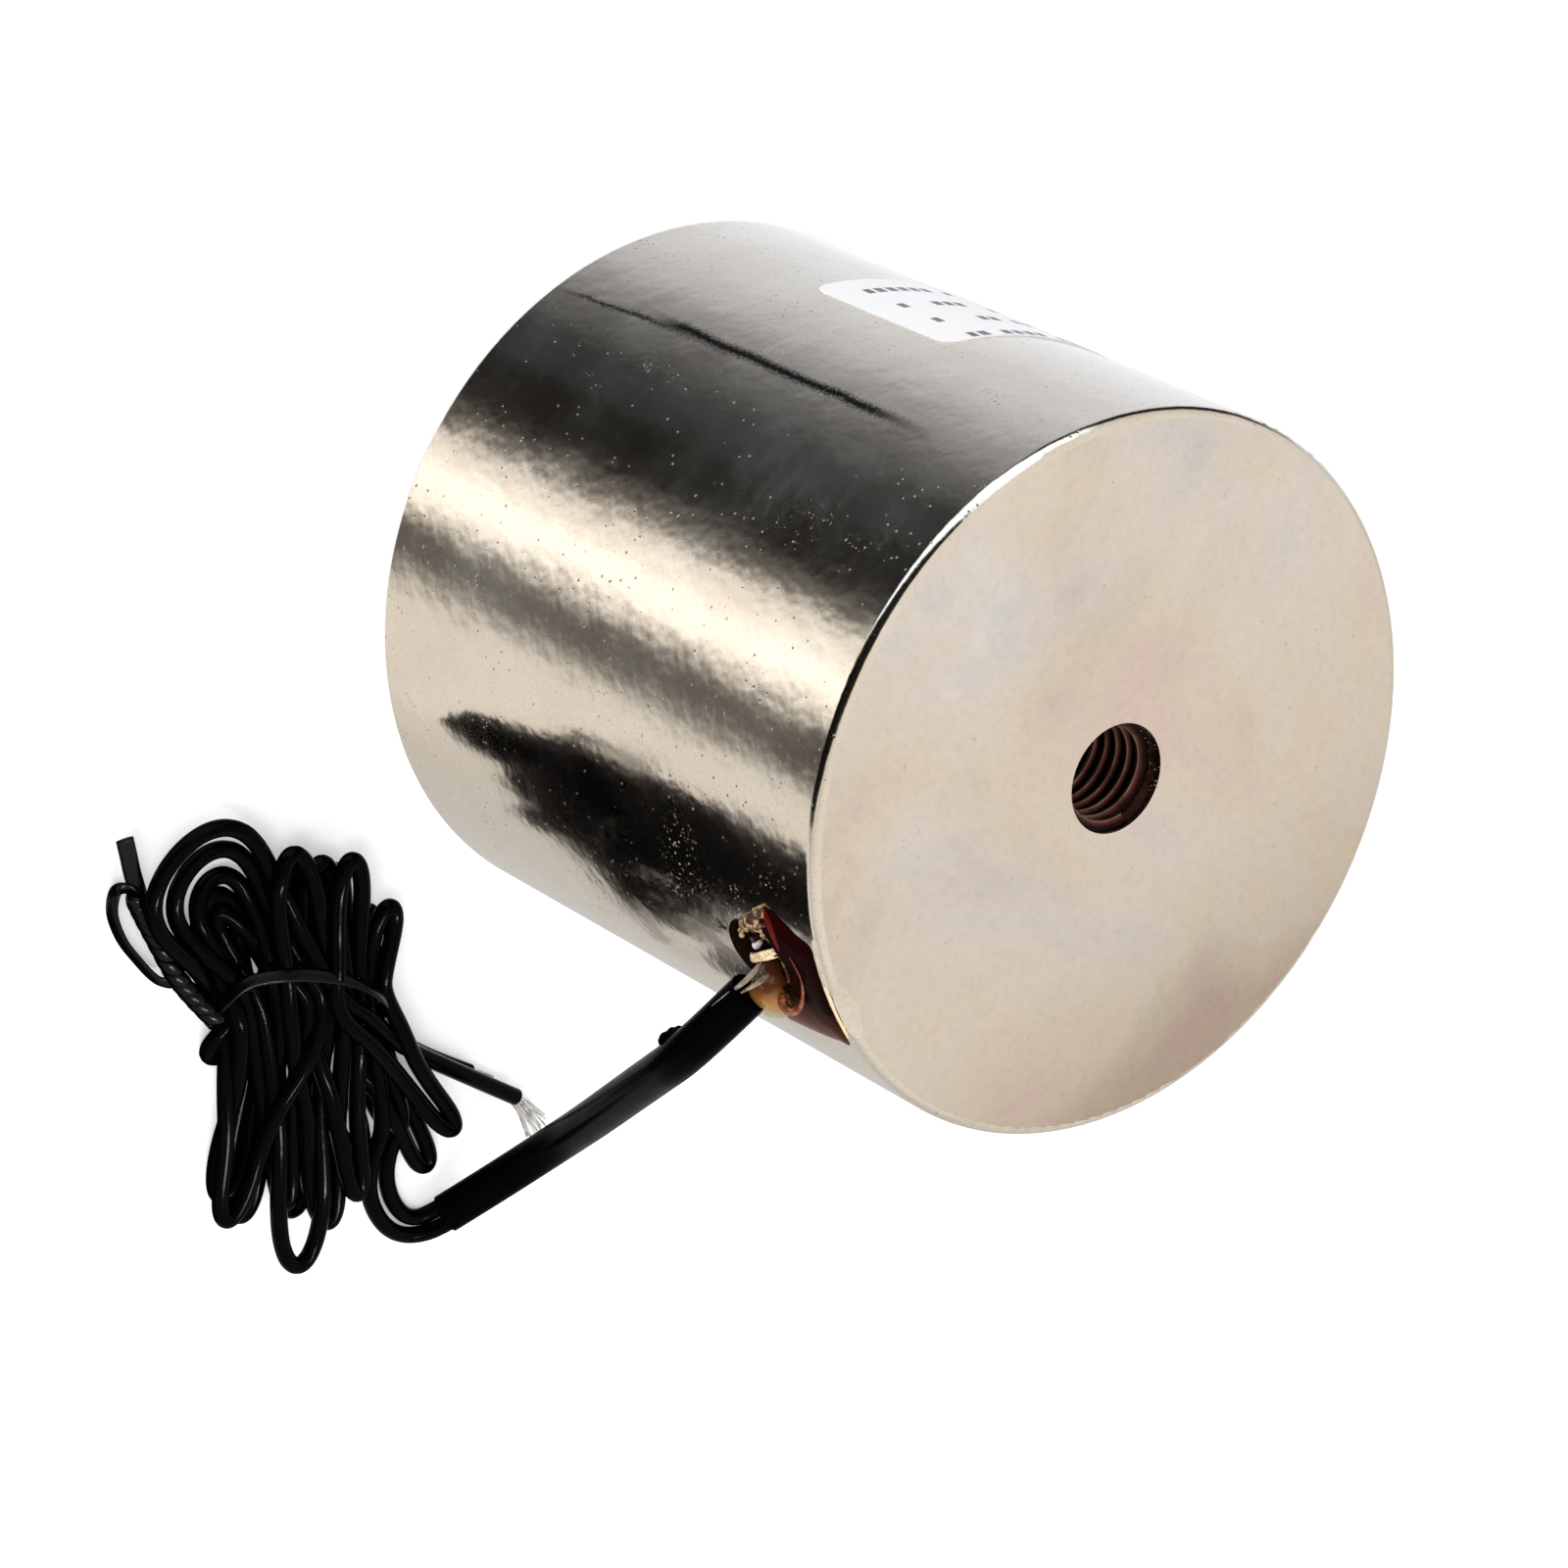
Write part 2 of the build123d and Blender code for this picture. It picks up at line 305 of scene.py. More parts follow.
def wall_nickel():
    """Bright plate on the turned wall: cloudy, pitted, gone chalky in flecks, and scratched."""
    finish, shader = new_finish("wall_nickel", nickel_colour, 1.0, wall_roughness)
    place = on_object(finish)
    pits = specks_at(place, 900.0, 0.19)
    pits_fine = specks_at(place, 2100.0, 0.22)
    cloud = noise(place, 55.0, 5.0, 0.6)
    colour = ramp(cloud, [(0.3, (0.80, 0.69, 0.565)), (0.5, (0.86, 0.75, 0.61)), (0.72, (0.91, 0.82, 0.69))])
    dust = ramp(noise(place, 2600.0, 2.0, 0.7), [(0.3, grey(0.90)), (0.5, white), (0.7, white)])
    colour = blend(1.0, colour, dust, "MULTIPLY")
    colour = blend(pits, colour, (0.20, 0.17, 0.14))
    colour = blend(times(pits_fine, 0.7), colour, (0.26, 0.22, 0.18))
    cluster = mapped(noise(place, 75.0, 4.0, 0.7), 0.55, 0.64)
    flecks = times(specks_at(place, 2400.0, 0.42), cluster, 0.85)
    colour = scratched(blend(flecks, colour, (0.52, 0.49, 0.43)), place)
    rough = plus(mapped(cloud, 0.3, 0.7, wall_roughness * 0.8, wall_roughness * 1.5), times(pits, 0.3))
    dents = bump(noise(place, 130.0, 3.0, 0.6), 0.3, 0.5 * mm)
    orange_peel = bump(noise(place, 900.0, 4.0, 0.65), 0.09, 0.1 * mm, dents)
    pitted = bump(pits, 0.5, 0.05 * mm, orange_peel, invert=True)
    feed(shader, {"Base Color": colour, "Metallic": minus(1.0, flecks), "Roughness": rough, "Normal": pitted})
    return finish


def face_nickel():
    """Plate on the turned end: satin, gone cloudy in yellow, pink and blue, with fine ripples and specks, and
    darkened towards its +X edge by painted shade.
    """
    finish, shader = new_finish("face_nickel", nickel_colour, 1.0, face_roughness)
    place = on_object(finish)
    broad = noise(place, 38.0, 4.0, 0.62, 0.6)
    inputs = {"Vector": place, "W": 3.7, "Scale": 23.0, "Detail": 5.0, "Roughness": 0.6, "Distortion": 0.9}
    other = add(finish.node_tree, "ShaderNodeTexNoise", inputs, noise_dimensions="4D").outputs["Fac"]
    stops = [(0.32, (0.80, 0.69, 0.61)), (0.47, (0.87, 0.76, 0.655)), (0.6, (0.89, 0.79, 0.70))]
    colour = ramp(broad, stops + [(0.75, (0.93, 0.85, 0.78))])
    tints = [(0.36, (0.88, 0.935, 1.0)), (0.46, white), (0.55, (1.0, 0.985, 0.90))]
    tints += [(0.63, (1.0, 0.915, 0.90))]
    colour = blend(1.0, colour, ramp(other, tints), "MULTIPLY")
    colour = blend(times(specks_at(place, 420.0, 0.12), 0.5), colour, (0.35, 0.28, 0.22))
    mottle = [(0.32, (0.93, 0.925, 0.92)), (0.5, grey(0.98)), (0.66, white)]
    colour = blend(1.0, colour, ramp(noise(place, 1100.0, 3.0, 0.7), mottle), "MULTIPLY")
    # painted shade: the end's colour is darkened towards its +X edge, along a wavering border
    across = mapped(plus(split(place)["X"], wobble(broad, 30 * mm)), -40 * mm, 40 * mm)
    painted_shade_stops = [(0.0, white), (0.5, (0.96, 0.955, 0.95)), (0.7, (0.93, 0.92, 0.91)), (0.85, (0.83, 0.81, 0.78))]
    colour = blend(1.0, colour, ramp(across, painted_shade_stops + [(0.95, (0.62, 0.58, 0.54))]), "MULTIPLY")
    rough = mapped(other, 0.3, 0.7, face_roughness * 0.85, face_roughness * 1.25)
    ripples = bump(noise(place, 330.0, 3.0, 0.5, 1.5), 0.12, 0.3 * mm)
    feed(shader, {"Base Color": colour, "Roughness": rough, "Normal": bump(broad, 0.12, 2 * mm, ripples)})
    return finish


pot = nodes["pot_body"].copy()
pot.data = nodes["pot_body"].data.copy()
pot.name = "pot"
pot.parent = None
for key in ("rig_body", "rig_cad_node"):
    if key in pot:
        del pot[key]
bpy.context.scene.collection.objects.link(pot)
make_active(pot)
bpy.ops.object.mode_set(mode="EDIT")
bpy.ops.mesh.select_all(action="SELECT")
bpy.ops.mesh.remove_doubles(threshold=0.001 * mm, use_sharp_edge_from_normals=True)
bpy.ops.object.mode_set(mode="OBJECT")
bpy.ops.mesh.customdata_custom_splitnormals_clear()
# the mounting hole is opened to the thread's roots, and the exit hole is made a little narrower and moved
for vertex in pot.data.vertices:
    reach = hypot(vertex.co.x, vertex.co.y)
    if 0.5 * mm < reach < 6.0 * mm and vertex.co.z > thread_end_height - 0.5 * mm:
        opened = thread_major_radius + (thread_lead_in if vertex.co.z > body_height - tolerance else 0)
        vertex.co.x *= opened / reach
        vertex.co.y *= opened / reach
for vertex in pot.data.vertices:
    beside, above = vertex.co.x, vertex.co.z - exit_height
    if vertex.co.y < -33 * mm and abs(hypot(beside, above) - exit_radius) < tolerance:
        at_wall = hypot(vertex.co.x, vertex.co.y)
        vertex.co.x = beside * exit_narrowing + exit_shift
        vertex.co.y = -((at_wall**2 - vertex.co.x**2) ** 0.5)
pot.data.materials.clear()
pot.data.materials.append(wall_nickel())
pot.data.materials.append(face_nickel())
for polygon in pot.data.polygons:
    if polygon.normal.z > 0.99 and polygon.center.z > body_height - tolerance:
        polygon.material_index = 1
    if polygon.normal.z < -0.9 and polygon.center.z < 1 * mm:
        polygon.material_index = 1
modified(pot, "WEIGHTED_NORMAL", "flat faces stay flat", keep_sharp=True)
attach(pot, "root")
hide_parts("pot_body")


# Mounting thread: M12 cut in the back, brown and oily, its colour darkened to nearly black in the roots as
# painted shade. It is a 60 degree profile wound up the hole.
thread_pitch = 1.75 * mm
thread_turns = 12
thread_top_gap = 0.3 * mm
crest_half = 0.11 * thread_pitch
flank = (thread_major_radius - thread_minor_radius) * 0.577


def thread_steel():
    finish, shader = new_finish("thread_steel", (0.3, 0.2, 0.15), 1.0, 0.35)
    place = on_object(finish)
    axes = split(place)
    flat = add(finish.node_tree, "ShaderNodeCombineXYZ", {"X": axes["X"], "Y": axes["Y"]}).outputs[0]
    reach = add(finish.node_tree, "ShaderNodeVectorMath", {0: flat}, operation="LENGTH").outputs["Value"]
    # painted shade: the colour darkens from the crests to nearly black in the roots
    root_shade_depth = plus(reach, wobble(noise(place, 350.0, 4.0), 0.6 * mm))
    stops = [(0.0, (0.20, 0.13, 0.10)), (0.2, (0.11, 0.035, 0.025)), (0.6, (0.022, 0.008, 0.006))]
    stops += [(1.0, (0.010, 0.005, 0.004))]
    feed(shader, {"Base Color": ramp(mapped(root_shade_depth, thread_minor_radius, thread_major_radius), stops)})
    return finish


profile = bmesh.new()
start = body_height - thread_top_gap - thread_pitch * thread_turns
heights = (0, flank, flank + 2 * crest_half, 2 * flank + 2 * crest_half, thread_pitch)
root, crest = thread_major_radius, thread_minor_radius
radii = (root, crest, crest, root, root)
corners = [profile.verts.new((r, 0, start + h)) for r, h in zip(radii, heights)]
for first, second in zip(corners, corners[1:]):
    profile.edges.new((first, second))
thread = piece_from("mounting_thread", profile, smooth=False)
winding = {"angle": 2 * pi, "screw_offset": thread_pitch, "iterations": thread_turns - 1}
rings = {"steps": 64, "render_steps": 64, "use_merge_vertices": True, "use_normal_flip": False}
modified(thread, "SCREW", "wound up the hole", **winding, **rings)
bpy.ops.object.shade_smooth_by_angle(angle=radians(25))
finished(thread, thread_steel())


# Coil: a moulded nylon bobbin wound with enamelled copper and taped, closed in by a ring of black cast
# epoxy that is ground flush with the holding face.
def dress_node(name, finish):
    node = nodes[name]
    node.data.materials.clear()
    node.data.materials.append(finish)


def grained(name, colour, metallic, roughness, grain_scale, relief, darker, specular=0.5):
    """Plain moulded or cast stuff with a fine grain and uneven gloss."""
    finish, shader = new_finish(name, colour, metallic, roughness, specular)
    inputs = {"Vector": on_object(finish), "Scale": grain_scale}
    skin = add(finish.node_tree, "ShaderNodeGroup", inputs, node_tree=grain).outputs
    shade = tuple(c * darker for c in colour)
    rough = mapped(skin["Mask"], 0.3, 0.7, roughness * 0.8, roughness * 1.3)
    height = bump(skin["Height"], relief, 0.1 * mm)
    feed(shader, {"Base Color": blend(skin["Mask"], colour, shade), "Roughness": rough, "Normal": height})
    return finish, shader


dress_node("coil_bobbin", grained("bobbin_nylon", (0.72, 0.69, 0.6), 0.0, 0.45, 900.0, 0.2, 0.9)[0])
dress_node("coil_winding", grained("enamelled_winding", (0.42, 0.13, 0.05), 0.6, 0.3, 1200.0, 0.5, 0.6)[0])
dress_node("winding_tape", grained("coil_tape", (0.55, 0.36, 0.06), 0.0, 0.35, 600.0, 0.2, 0.85)[0])
dress_node("potting_ring", grained("cast_epoxy", (0.022, 0.022, 0.023), 0.0, 0.4, 700.0, 0.3, 0.6)[0])


# Coil ends: enamelled copper. One stays in the exit hole, dark with resin; the other bows out of it and
# turns back.
def mottled(name, colour, metallic, roughness, scale, detail, stops, noise_roughness=0.5):
    """Stuff whose colour follows a noise; the shader and the noise come with it."""
    finish, shader = new_finish(name, colour, metallic, roughness)
    pattern = noise(on_object(finish), scale, detail, noise_roughness)
    feed(shader, {"Base Color": ramp(pattern, stops)})
    return finish, shader, pattern


wear = [(0.35, (0.16, 0.035, 0.02)), (0.55, (0.34, 0.10, 0.045)), (0.7, (0.55, 0.22, 0.09))]
copper = mottled("enamelled_copper", (0.5, 0.12, 0.045), 0.75, 0.22, 700.0, 3.0, wear)[0]
dress_node("copper_tail_a", new_finish("resin_coated_copper", (0.02, 0.008, 0.005), 0.0, 0.4)[0])
dress_node("copper_tail_b", copper)


# Exit resin: the cast resin that seals the lead's hole. It stands back in the hole, has run over the wall as
# a dark maroon sheet, crumbled to a pale crust beside the hole and set as an amber bead round the lead.
well_depth = 3.0 * mm
well_steps = 48
lining_share = 0.985
lining_inset = 0.15 * mm
bottom_share = 0.94
sheet_top = 11.2


def from_exit(points):
    """Points in millimetres from the exit's centre on the wall, moved to the row's frame."""
    return [Vector((x * mm, y * mm - body_radius, z * mm + exit_height)) for x, y, z in points]


def on_wall(arc, height, lift=0.0):
    """A point on the wall: distance round from the exit, height above it and lift, in millimetres."""
    angle = arc * mm / body_radius - pi / 2
    reach = body_radius + lift * mm
    return Vector((reach * cos(angle), reach * sin(angle), exit_height + height * mm))


def between(a, b, c, d, t):
    """A place on the smooth curve from b to c that has a before it and d after it."""
    return b + (c - a) * t / 2 + (a * 2 - b * 5 + c * 4 - d) * t * t / 2 + (b * 3 - a - c * 3 + d) * t**3 / 2


def bridge(mesh, rows, first_step=0):
    """Faces between rows of corners, closed round unless they start at step 1."""
    for row, following in zip(rows, rows[1:]):
        for step in range(first_step, len(row)):
            mesh.faces.new((row[step - 1], row[step], following[step], following[step - 1]))


def glossy_resin(name, stops, axis, low, high, roughness, blotch, specular=0.5):
    """Cast resin with a wet gloss: its colour runs along one axis of the row's frame, in cloudy blotches."""
    finish, shader = new_finish(name, (0.1, 0.02, 0.01), 0.0, roughness, specular)
    place = on_object(finish)
    share = mapped(split(place)[axis], low, high)
    shift = wobble(noise(place, 420.0, 4.0, 0.5, 0.8), blotch * 2)
    relief = bump(noise(place, 500.0, 2.0), 0.12, 0.4 * mm)
    feed(shader, {"Base Color": ramp(plus(share, shift), stops), "Normal": relief})
    return finish


well = bmesh.new()
bottom = []
lining = []
for step in range(well_steps):
    angle = 2 * pi * step / well_steps
    side, up = exit_radius * cos(angle) + exit_shift, exit_radius * sin(angle)
    at_wall = lining_inset - (body_radius**2 - side**2) ** 0.5
    lining.append(well.verts.new((side * lining_share, at_wall, exit_height + up * lining_share)))
    at_depth = well_depth - body_radius
    bottom.append(well.verts.new((side * bottom_share, at_depth, exit_height + up * bottom_share)))
bridge(well, [lining, bottom])
well.faces.new(bottom)
dark_resin = new_finish("dark_resin", (0.012, 0.005, 0.003), 0.0, 0.3)[0]
exit_well = finished(piece_from("exit_well", well, smooth=False), dark_resin)
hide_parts("exit_resin")

# the sheet's outline on the wall: distance round from the exit, and height above it
sheet_outline = [(-6.4, 2.5), (-7.0, 4.6), (-6.3, 6.9), (-5.5, 8.8), (-4.8, 11.0), (-2.0, 11.3), (3.0, 11.3)]
sheet_outline += [(8.5, 11.1), (9.2, 9.0), (9.8, 7.0), (10.4, 4.4), (10.9, 1.7), (11.2, -1.6), (8.6, -3.0)]
sheet_outline += [(5.9, -1.8), (5.2, 0.4), (4.8, 2.2), (3.6, 3.9), (1.8, 4.9), (-0.2, 5.0), (-2.0, 4.5)]
sheet_outline += [(-3.4, 3.3), (-4.4, 2.2), (-5.6, 1.6)]
sheet_middle = Vector((1.5, 7.6))
sheet = bmesh.new()
rounded = []
for index in range(len(sheet_outline)):
    a, b, c, d = (Vector(sheet_outline[(index + k) % len(sheet_outline)]) for k in (-1, 0, 1, 2))
    rounded += [between(a, b, c, d, t) for t in (0.0, 0.25, 0.5, 0.75)]
sheet_rings = []
for ring in range(1, 13):
    share = ring / 12
    thick = 0.34 * (1 - share**6) + 0.01
    corners = []
    for edge in rounded:
        spot = sheet_middle.lerp(edge, share)
        spot.y = min(spot.y, sheet_top)
        swell = 0.08 * sin(spot.x * 1.3) * sin(spot.y) * (1 - share)
        corners.append(sheet.verts.new(on_wall(spot.x, spot.y, thick + swell)))
    sheet_rings.append(corners)
bridge(sheet, sheet_rings)
sheet.faces.new(sheet_rings[0])
maroon = [(0.0, (0.012, 0.0015, 0.001)), (0.22, (0.007, 0.001, 0.001)), (0.6, (0.006, 0.002, 0.001))]
maroon += [(0.8, (0.035, 0.011, 0.007)), (1.0, (0.10, 0.034, 0.022))]
maroon_resin = glossy_resin("maroon_resin", maroon, "X", -7.5 * mm, 10.5 * mm, 0.16, 0.1, 0.005)
finished(piece_from("resin_sheet", sheet), maroon_resin)


def lumps(name, spots, voxel, rough, finish):
    """Crumbs of different sizes fused to one lump."""
    made = []
    for x, y, z, size, seed in spots:
        place = from_exit([(x, y, z)])[0]
        bpy.ops.mesh.primitive_ico_sphere_add(subdivisions=3, radius=size * mm, location=place)
        crumb = bpy.context.object
        shuffled = random.Random(seed)
        stretch = [1 + shuffled.uniform(-rough, rough) for _ in range(3)]
        for vertex in crumb.data.vertices:
            swollen = Vector(c * s for c, s in zip(vertex.co, stretch))
            vertex.co = swollen * (1 + shuffled.uniform(-rough, rough) * 0.35)
        made.append(crumb)
    make_active(made[0])
    for crumb in made:
        crumb.select_set(True)
    bpy.ops.object.join()
    whole = bpy.context.object
    bpy.ops.object.transform_apply(location=True, rotation=True, scale=True)
    whole.name = whole.data.name = name
    modified(whole, "REMESH", "fused", mode="VOXEL", voxel_size=voxel * mm, use_smooth_shade=True)
    return finished(whole, finish)


# the crust's colour follows the noise that also gives its relief: its dark brown low end is painted shade in
# the hollows
crust_and_shade_stops = [(0.40, (0.025, 0.006, 0.003)), (0.50, (0.13, 0.05, 0.02))]
crust_and_shade_stops += [(0.57, (0.50, 0.36, 0.18)), (0.72, (0.85, 0.76, 0.56))]
crust_values = ((0.7, 0.6, 0.35), 0.0, 0.45, 850.0, 5.0, crust_and_shade_stops, 0.65)
crust_resin, shader, crumble_and_shade = mottled("crust_resin", *crust_values)
feed(shader, {"Normal": bump(crumble_and_shade, 1.0, 0.7 * mm)})

# the crust's path on the wall, from beside the hole to its top: distance round, height above, and size
crust_path = [(-1.5, -2.4, 0.35), (-2.4, -2.0, 0.5), (-3.3, -1.3, 0.6), (-4.0, -0.6, 0.75), (-4.6, 0.2, 0.8)]
crust_path += [(-5.2, 1.0, 0.9), (-5.9, 1.8, 0.85), (-6.5, 2.6, 0.75), (-5.0, 2.4, 0.7), (-4.2, 1.5, 0.7)]
crust_path += [(-3.5, 0.5, 0.6), (-6.2, 3.4, 0.6), (-2.8, -0.9, 0.45), (-3.4, 2.2, 0.5)]
crust_spots = []
for index, (arc, height, size) in enumerate(crust_path):
    arc, height, size = arc + 0.3, height + 0.7, size * 0.8
    spot = on_wall(arc, height, size * 0.25)
    from_hole = (spot.x / mm, (spot.y + body_radius) / mm, (spot.z - exit_height) / mm)
    crust_spots.append((*from_hole, size, 20 + index))
lumps("resin_crust", crust_spots, 0.10, 0.42, crust_resin)

amber_stops = [(0.0, (0.04, 0.01, 0.004)), (0.3, (0.10, 0.03, 0.008)), (0.52, (0.26, 0.10, 0.02))]
amber_stops += [(0.74, (0.27, 0.16, 0.05)), (1.0, (0.27, 0.24, 0.12))]
amber_resin = glossy_resin("amber_resin", amber_stops, "X", 1.6 * mm, 7.6 * mm, 0.2, 0.16)
bead_spots = [(4.6, -0.4, 1.5, 1.9, 3), (5.7, -0.3, 1.6, 1.8, 4), (6.8, -0.1, 1.3, 1.5, 5)]
bead_spots += [(3.2, 0.0, 1.2, 1.4, 6), (4.7, -0.9, 0.3, 1.6, 7), (5.9, -1.0, 0.1, 1.5, 8)]
bead_spots += [(2.4, 0.6, 1.0, 1.2, 9), (7.2, -0.6, 0.3, 1.2, 10)]
resin_bead = lumps("resin_bead", bead_spots, 0.14, 0.06, amber_resin)
modified(resin_bead, "SMOOTH", "run together", factor=0.6, iterations=14)


def round_line(name, routes, radius, roundness, taper=None, steps=12, capped=True):
    """Round threads in one object, each on an open NURBS line, thinner or thicker along their way."""
    line = bpy.data.curves.new(name, "CURVE")
    line.dimensions = "3D"
    line.bevel_depth = radius
    line.bevel_resolution = roundness
    line.use_fill_caps = capped
    for route in routes:
        spline = line.splines.new("NURBS")
        spline.points.add(len(route) - 1)
        for index, (point, place) in enumerate(zip(spline.points, route)):
            point.co = (*place, 1)
            point.radius = taper[index] if taper else 1.0
        spline.order_u = 3
        spline.use_endpoint_u = True
        spline.resolution_u = steps
    return placed(name, line)


def fine_line(name, points, radius, finish, taper):
    """A thin thread or drip of a radius in millimetres."""
    return finished(round_line(name, [points], radius * mm, 3, taper), finish)


red_resin = new_finish("red_resin", (0.085, 0.004, 0.002), 0.0, 0.25, 0.1)[0]
ridge = [(-6.6, 3.9, 0.1), (-6.0, 4.4, 0.3), (-4.6, 5.0, 0.3), (-3.0, 5.2, 0.2), (-1.6, 5.5, 0.1)]
fine_line("red_ridge", [on_wall(*spot) for spot in ridge], 0.38, red_resin, [0.5, 1.1, 1.0, 0.8, 0.4])

frayed = [(0.3, (0.35, 0.2, 0.09)), (0.6, (0.78, 0.62, 0.40))]
fibre = mottled("pale_fibre", (0.66, 0.50, 0.30), 0.0, 0.6, 2200.0, 3.0, frayed)[0]
fibre_path = [(2.0, 0.5, -2.0), (1.4, -0.2, -0.9), (0.7, -0.4, 0.2)]
fibre_path += [(0.0, -0.4, 1.4), (-0.8, -0.3, 2.7), (-1.6, 0.1, 4.0)]
# each fibre's shift across the path, and its radius
fibre_threads = [(0.0, 0.28), (0.4, 0.22), (-0.35, 0.2), (0.2, 0.16), (-0.15, 0.18), (0.65, 0.12)]
ragged = random.Random(12)
for index, (shift, thick) in enumerate(fibre_threads):
    path = []
    for x, y, z in fibre_path:
        x += shift + ragged.uniform(-0.2, 0.2)
        y += ragged.uniform(-0.2, 0.2)
        z += ragged.uniform(-0.3, 0.3)
        path.append((x, y, z))
    swell = [0.4] + [ragged.uniform(0.7, 1.6) for _ in range(4)] + [0.4]
    fine_line(f"fibre_{index + 1}", from_exit(path), thick, fibre, swell)

white_drop = new_finish("white_drop", (0.75, 0.62, 0.62), 0.0, 0.2)[0]
lumps("white_drop", [(0.2, 0.7, -0.7, 0.5, 2), (-0.2, 0.8, -0.3, 0.4, 3)], 0.1, 0.1, white_drop)

streaked = [(0.35, (0.05, 0.035, 0.02)), (0.6, (0.32, 0.27, 0.20))]
sleeving = mottled("pale_sleeving", (0.40, 0.35, 0.27), 0.0, 0.3, 1200.0, 3.0, streaked)[0]
long_route = from_exit([(2.2, 0.2, -0.2), (2.5, -1.8, 0.1), (3.1, -3.2, -0.5)])
long_route += from_exit([(4.2, -4.3, -1.9), (5.4, -5.3, -3.3)])
short_route = from_exit([(2.4, 0.4, 1.6), (2.3, -1.4, 1.9), (2.6, -2.6, 1.4), (3.3, -3.4, 0.3)])
fine_line("sleeving_a", long_route, 0.3, sleeving, [1.2, 1.1, 0.8, 0.6, 0.25])
fine_line("sleeving_b", short_route, 0.3, sleeving, [1.2, 1.1, 0.8, 0.3])

dark_fibre = new_finish("dark_fibre", (0.03, 0.02, 0.01), 0.0, 0.6)[0]
stray_routes = {"stray_a": [(-1.6, -6.1), (-0.9, -5.6), (-0.6, -4.7)]}
stray_routes["stray_b"] = [(-0.2, -6.3), (-0.6, -5.6), (-0.7, -4.8)]
for name, spots in stray_routes.items():
    fine_line(name, [on_wall(arc, height, 0.08) for arc, height in spots], 0.07, dark_fibre, [0.5, 1.0, 1.0])

loop_route = from_exit([(2.6, 8.6, 2.4), (2.6, 3.0, 3.2), (1.0, 0.7, 5.0), (-2.6, -0.3, 7.0)])
loop_route += from_exit([(-1.4, -0.5, 8.0), (0.4, -0.5, 8.4), (3.4, -0.5, 7.2), (5.0, -0.8, 6.0)])
loop_route += from_exit([(5.6, -1.1, 4.8), (4.9, -1.2, 4.0), (4.2, -1.0, 3.8), (3.8, -0.8, 4.6)])
loop_taper = [1, 1, 1, 0.5, 0.5, 0.7, 1.4, 2.2, 3.2, 3.2, 2.6, 2.0]
copper_loop = fine_line("copper_loop", loop_route, 0.17, copper, loop_taper)
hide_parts("copper_tail_b")

gilt = bmesh.new()
gilt_rows = []
for height, lift in ((11.55, 0.03), (11.85, 0.02), (12.1, -0.08), (12.2, -0.14)):
    row = []
    for step in range(15):
        share = step / 14
        narrow = sin(pi * min(max(share, 0.02), 0.98)) ** 0.5
        row.append(gilt.verts.new(on_wall(-0.2 + 7.4 * share, 11.5 + (height - 11.5) * narrow, lift + 0.05)))
    gilt_rows.append(row)
bridge(gilt, gilt_rows, first_step=1)
# the strip is pale gold, with a near-black line along its top edge that is a painted dark reflection
gilt_and_reflection_stops = [(0.0, (0.62, 0.47, 0.26)), (0.75, (0.66, 0.52, 0.30))]
gilt_and_reflection_stops += [(0.86, (0.03, 0.02, 0.015)), (1.0, (0.03, 0.02, 0.015))]
gilt_low, gilt_high = exit_height + 11.5 * mm, exit_height + 12.2 * mm
gilt_resin = glossy_resin("gilt_resin", gilt_and_reflection_stops, "Z", gilt_low, gilt_high, 0.25, 0.03)
finished(piece_from("gilt_edge", gilt), gilt_resin)


# Lead sleeve: black heat-shrink tube drawn over the two wires, satin with faint lengthwise lights.
def from_foot(points):
    """Points in millimetres from the wall's foot straight below the exit, moved to the row's frame."""
    return [Vector((x * mm, y * mm - body_radius, z * mm)) for x, y, z in points]


def laid_cord(name, points, diameter, finish):
    """A round cord on one smooth open NURBS line through its route's points."""
    return finished(round_line(name, [points], diameter / 2, 5, steps=6), finish)


def centreline(piece):
    """The smooth line's own points, read from a copy of the curve with no thickness."""
    bare = piece.copy()
    bare.data = piece.data.copy()
    bare.data.bevel_depth = 0
    bpy.context.scene.collection.objects.link(bare)
    bpy.context.view_layer.update()
    mesh = bpy.data.meshes.new_from_object(bare)
    points = [v.co.copy() for v in mesh.vertices]
    bpy.data.objects.remove(bare)
    return points


def line_length(points):
    return sum((b - a).length for a, b in zip(points, points[1:]))


def black_cover(name, roughness, sheen):
    """Black flexible plastic: black in body, with a narrow low gloss."""
    return grained(name, (0.0012, 0.0012, 0.0013), 0.0, roughness, 1500.0, 0.12, 0.5, sheen)[0]


sleeve_diameter = 4.7 * mm
sleeve_route = from_exit([(4.7, -1.9, -0.6), (11.3, -7.9, -6.7), (21.1, -7.2, -18.8)])
sleeve_route += from_foot([(38.4, -5.7, 24.5), (46.6, -5.7, 14.2), (52.1, -11.6, 6.7), (54.5, -17.2, 2.9)])
sleeve_black = black_cover("sleeve_black", 0.22, 0.006)
sleeve = laid_cord("sleeve", sleeve_route, sleeve_diameter, sleeve_black)
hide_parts("lead_sleeve")
# a small nick where the sleeve has been caught: three crumbs of its plastic stand up on its back
nick_spots = [(12.2, -6.6, -11.4, 1.05, 4), (11.7, -6.3, -10.4, 0.8, 5), (13.1, -7.0, -12.6, 0.85, 6)]
sleeve_nick = lumps("sleeve_nick", nick_spots, 0.14, 0.25, sleeve_black)
line_length(centreline(sleeve))


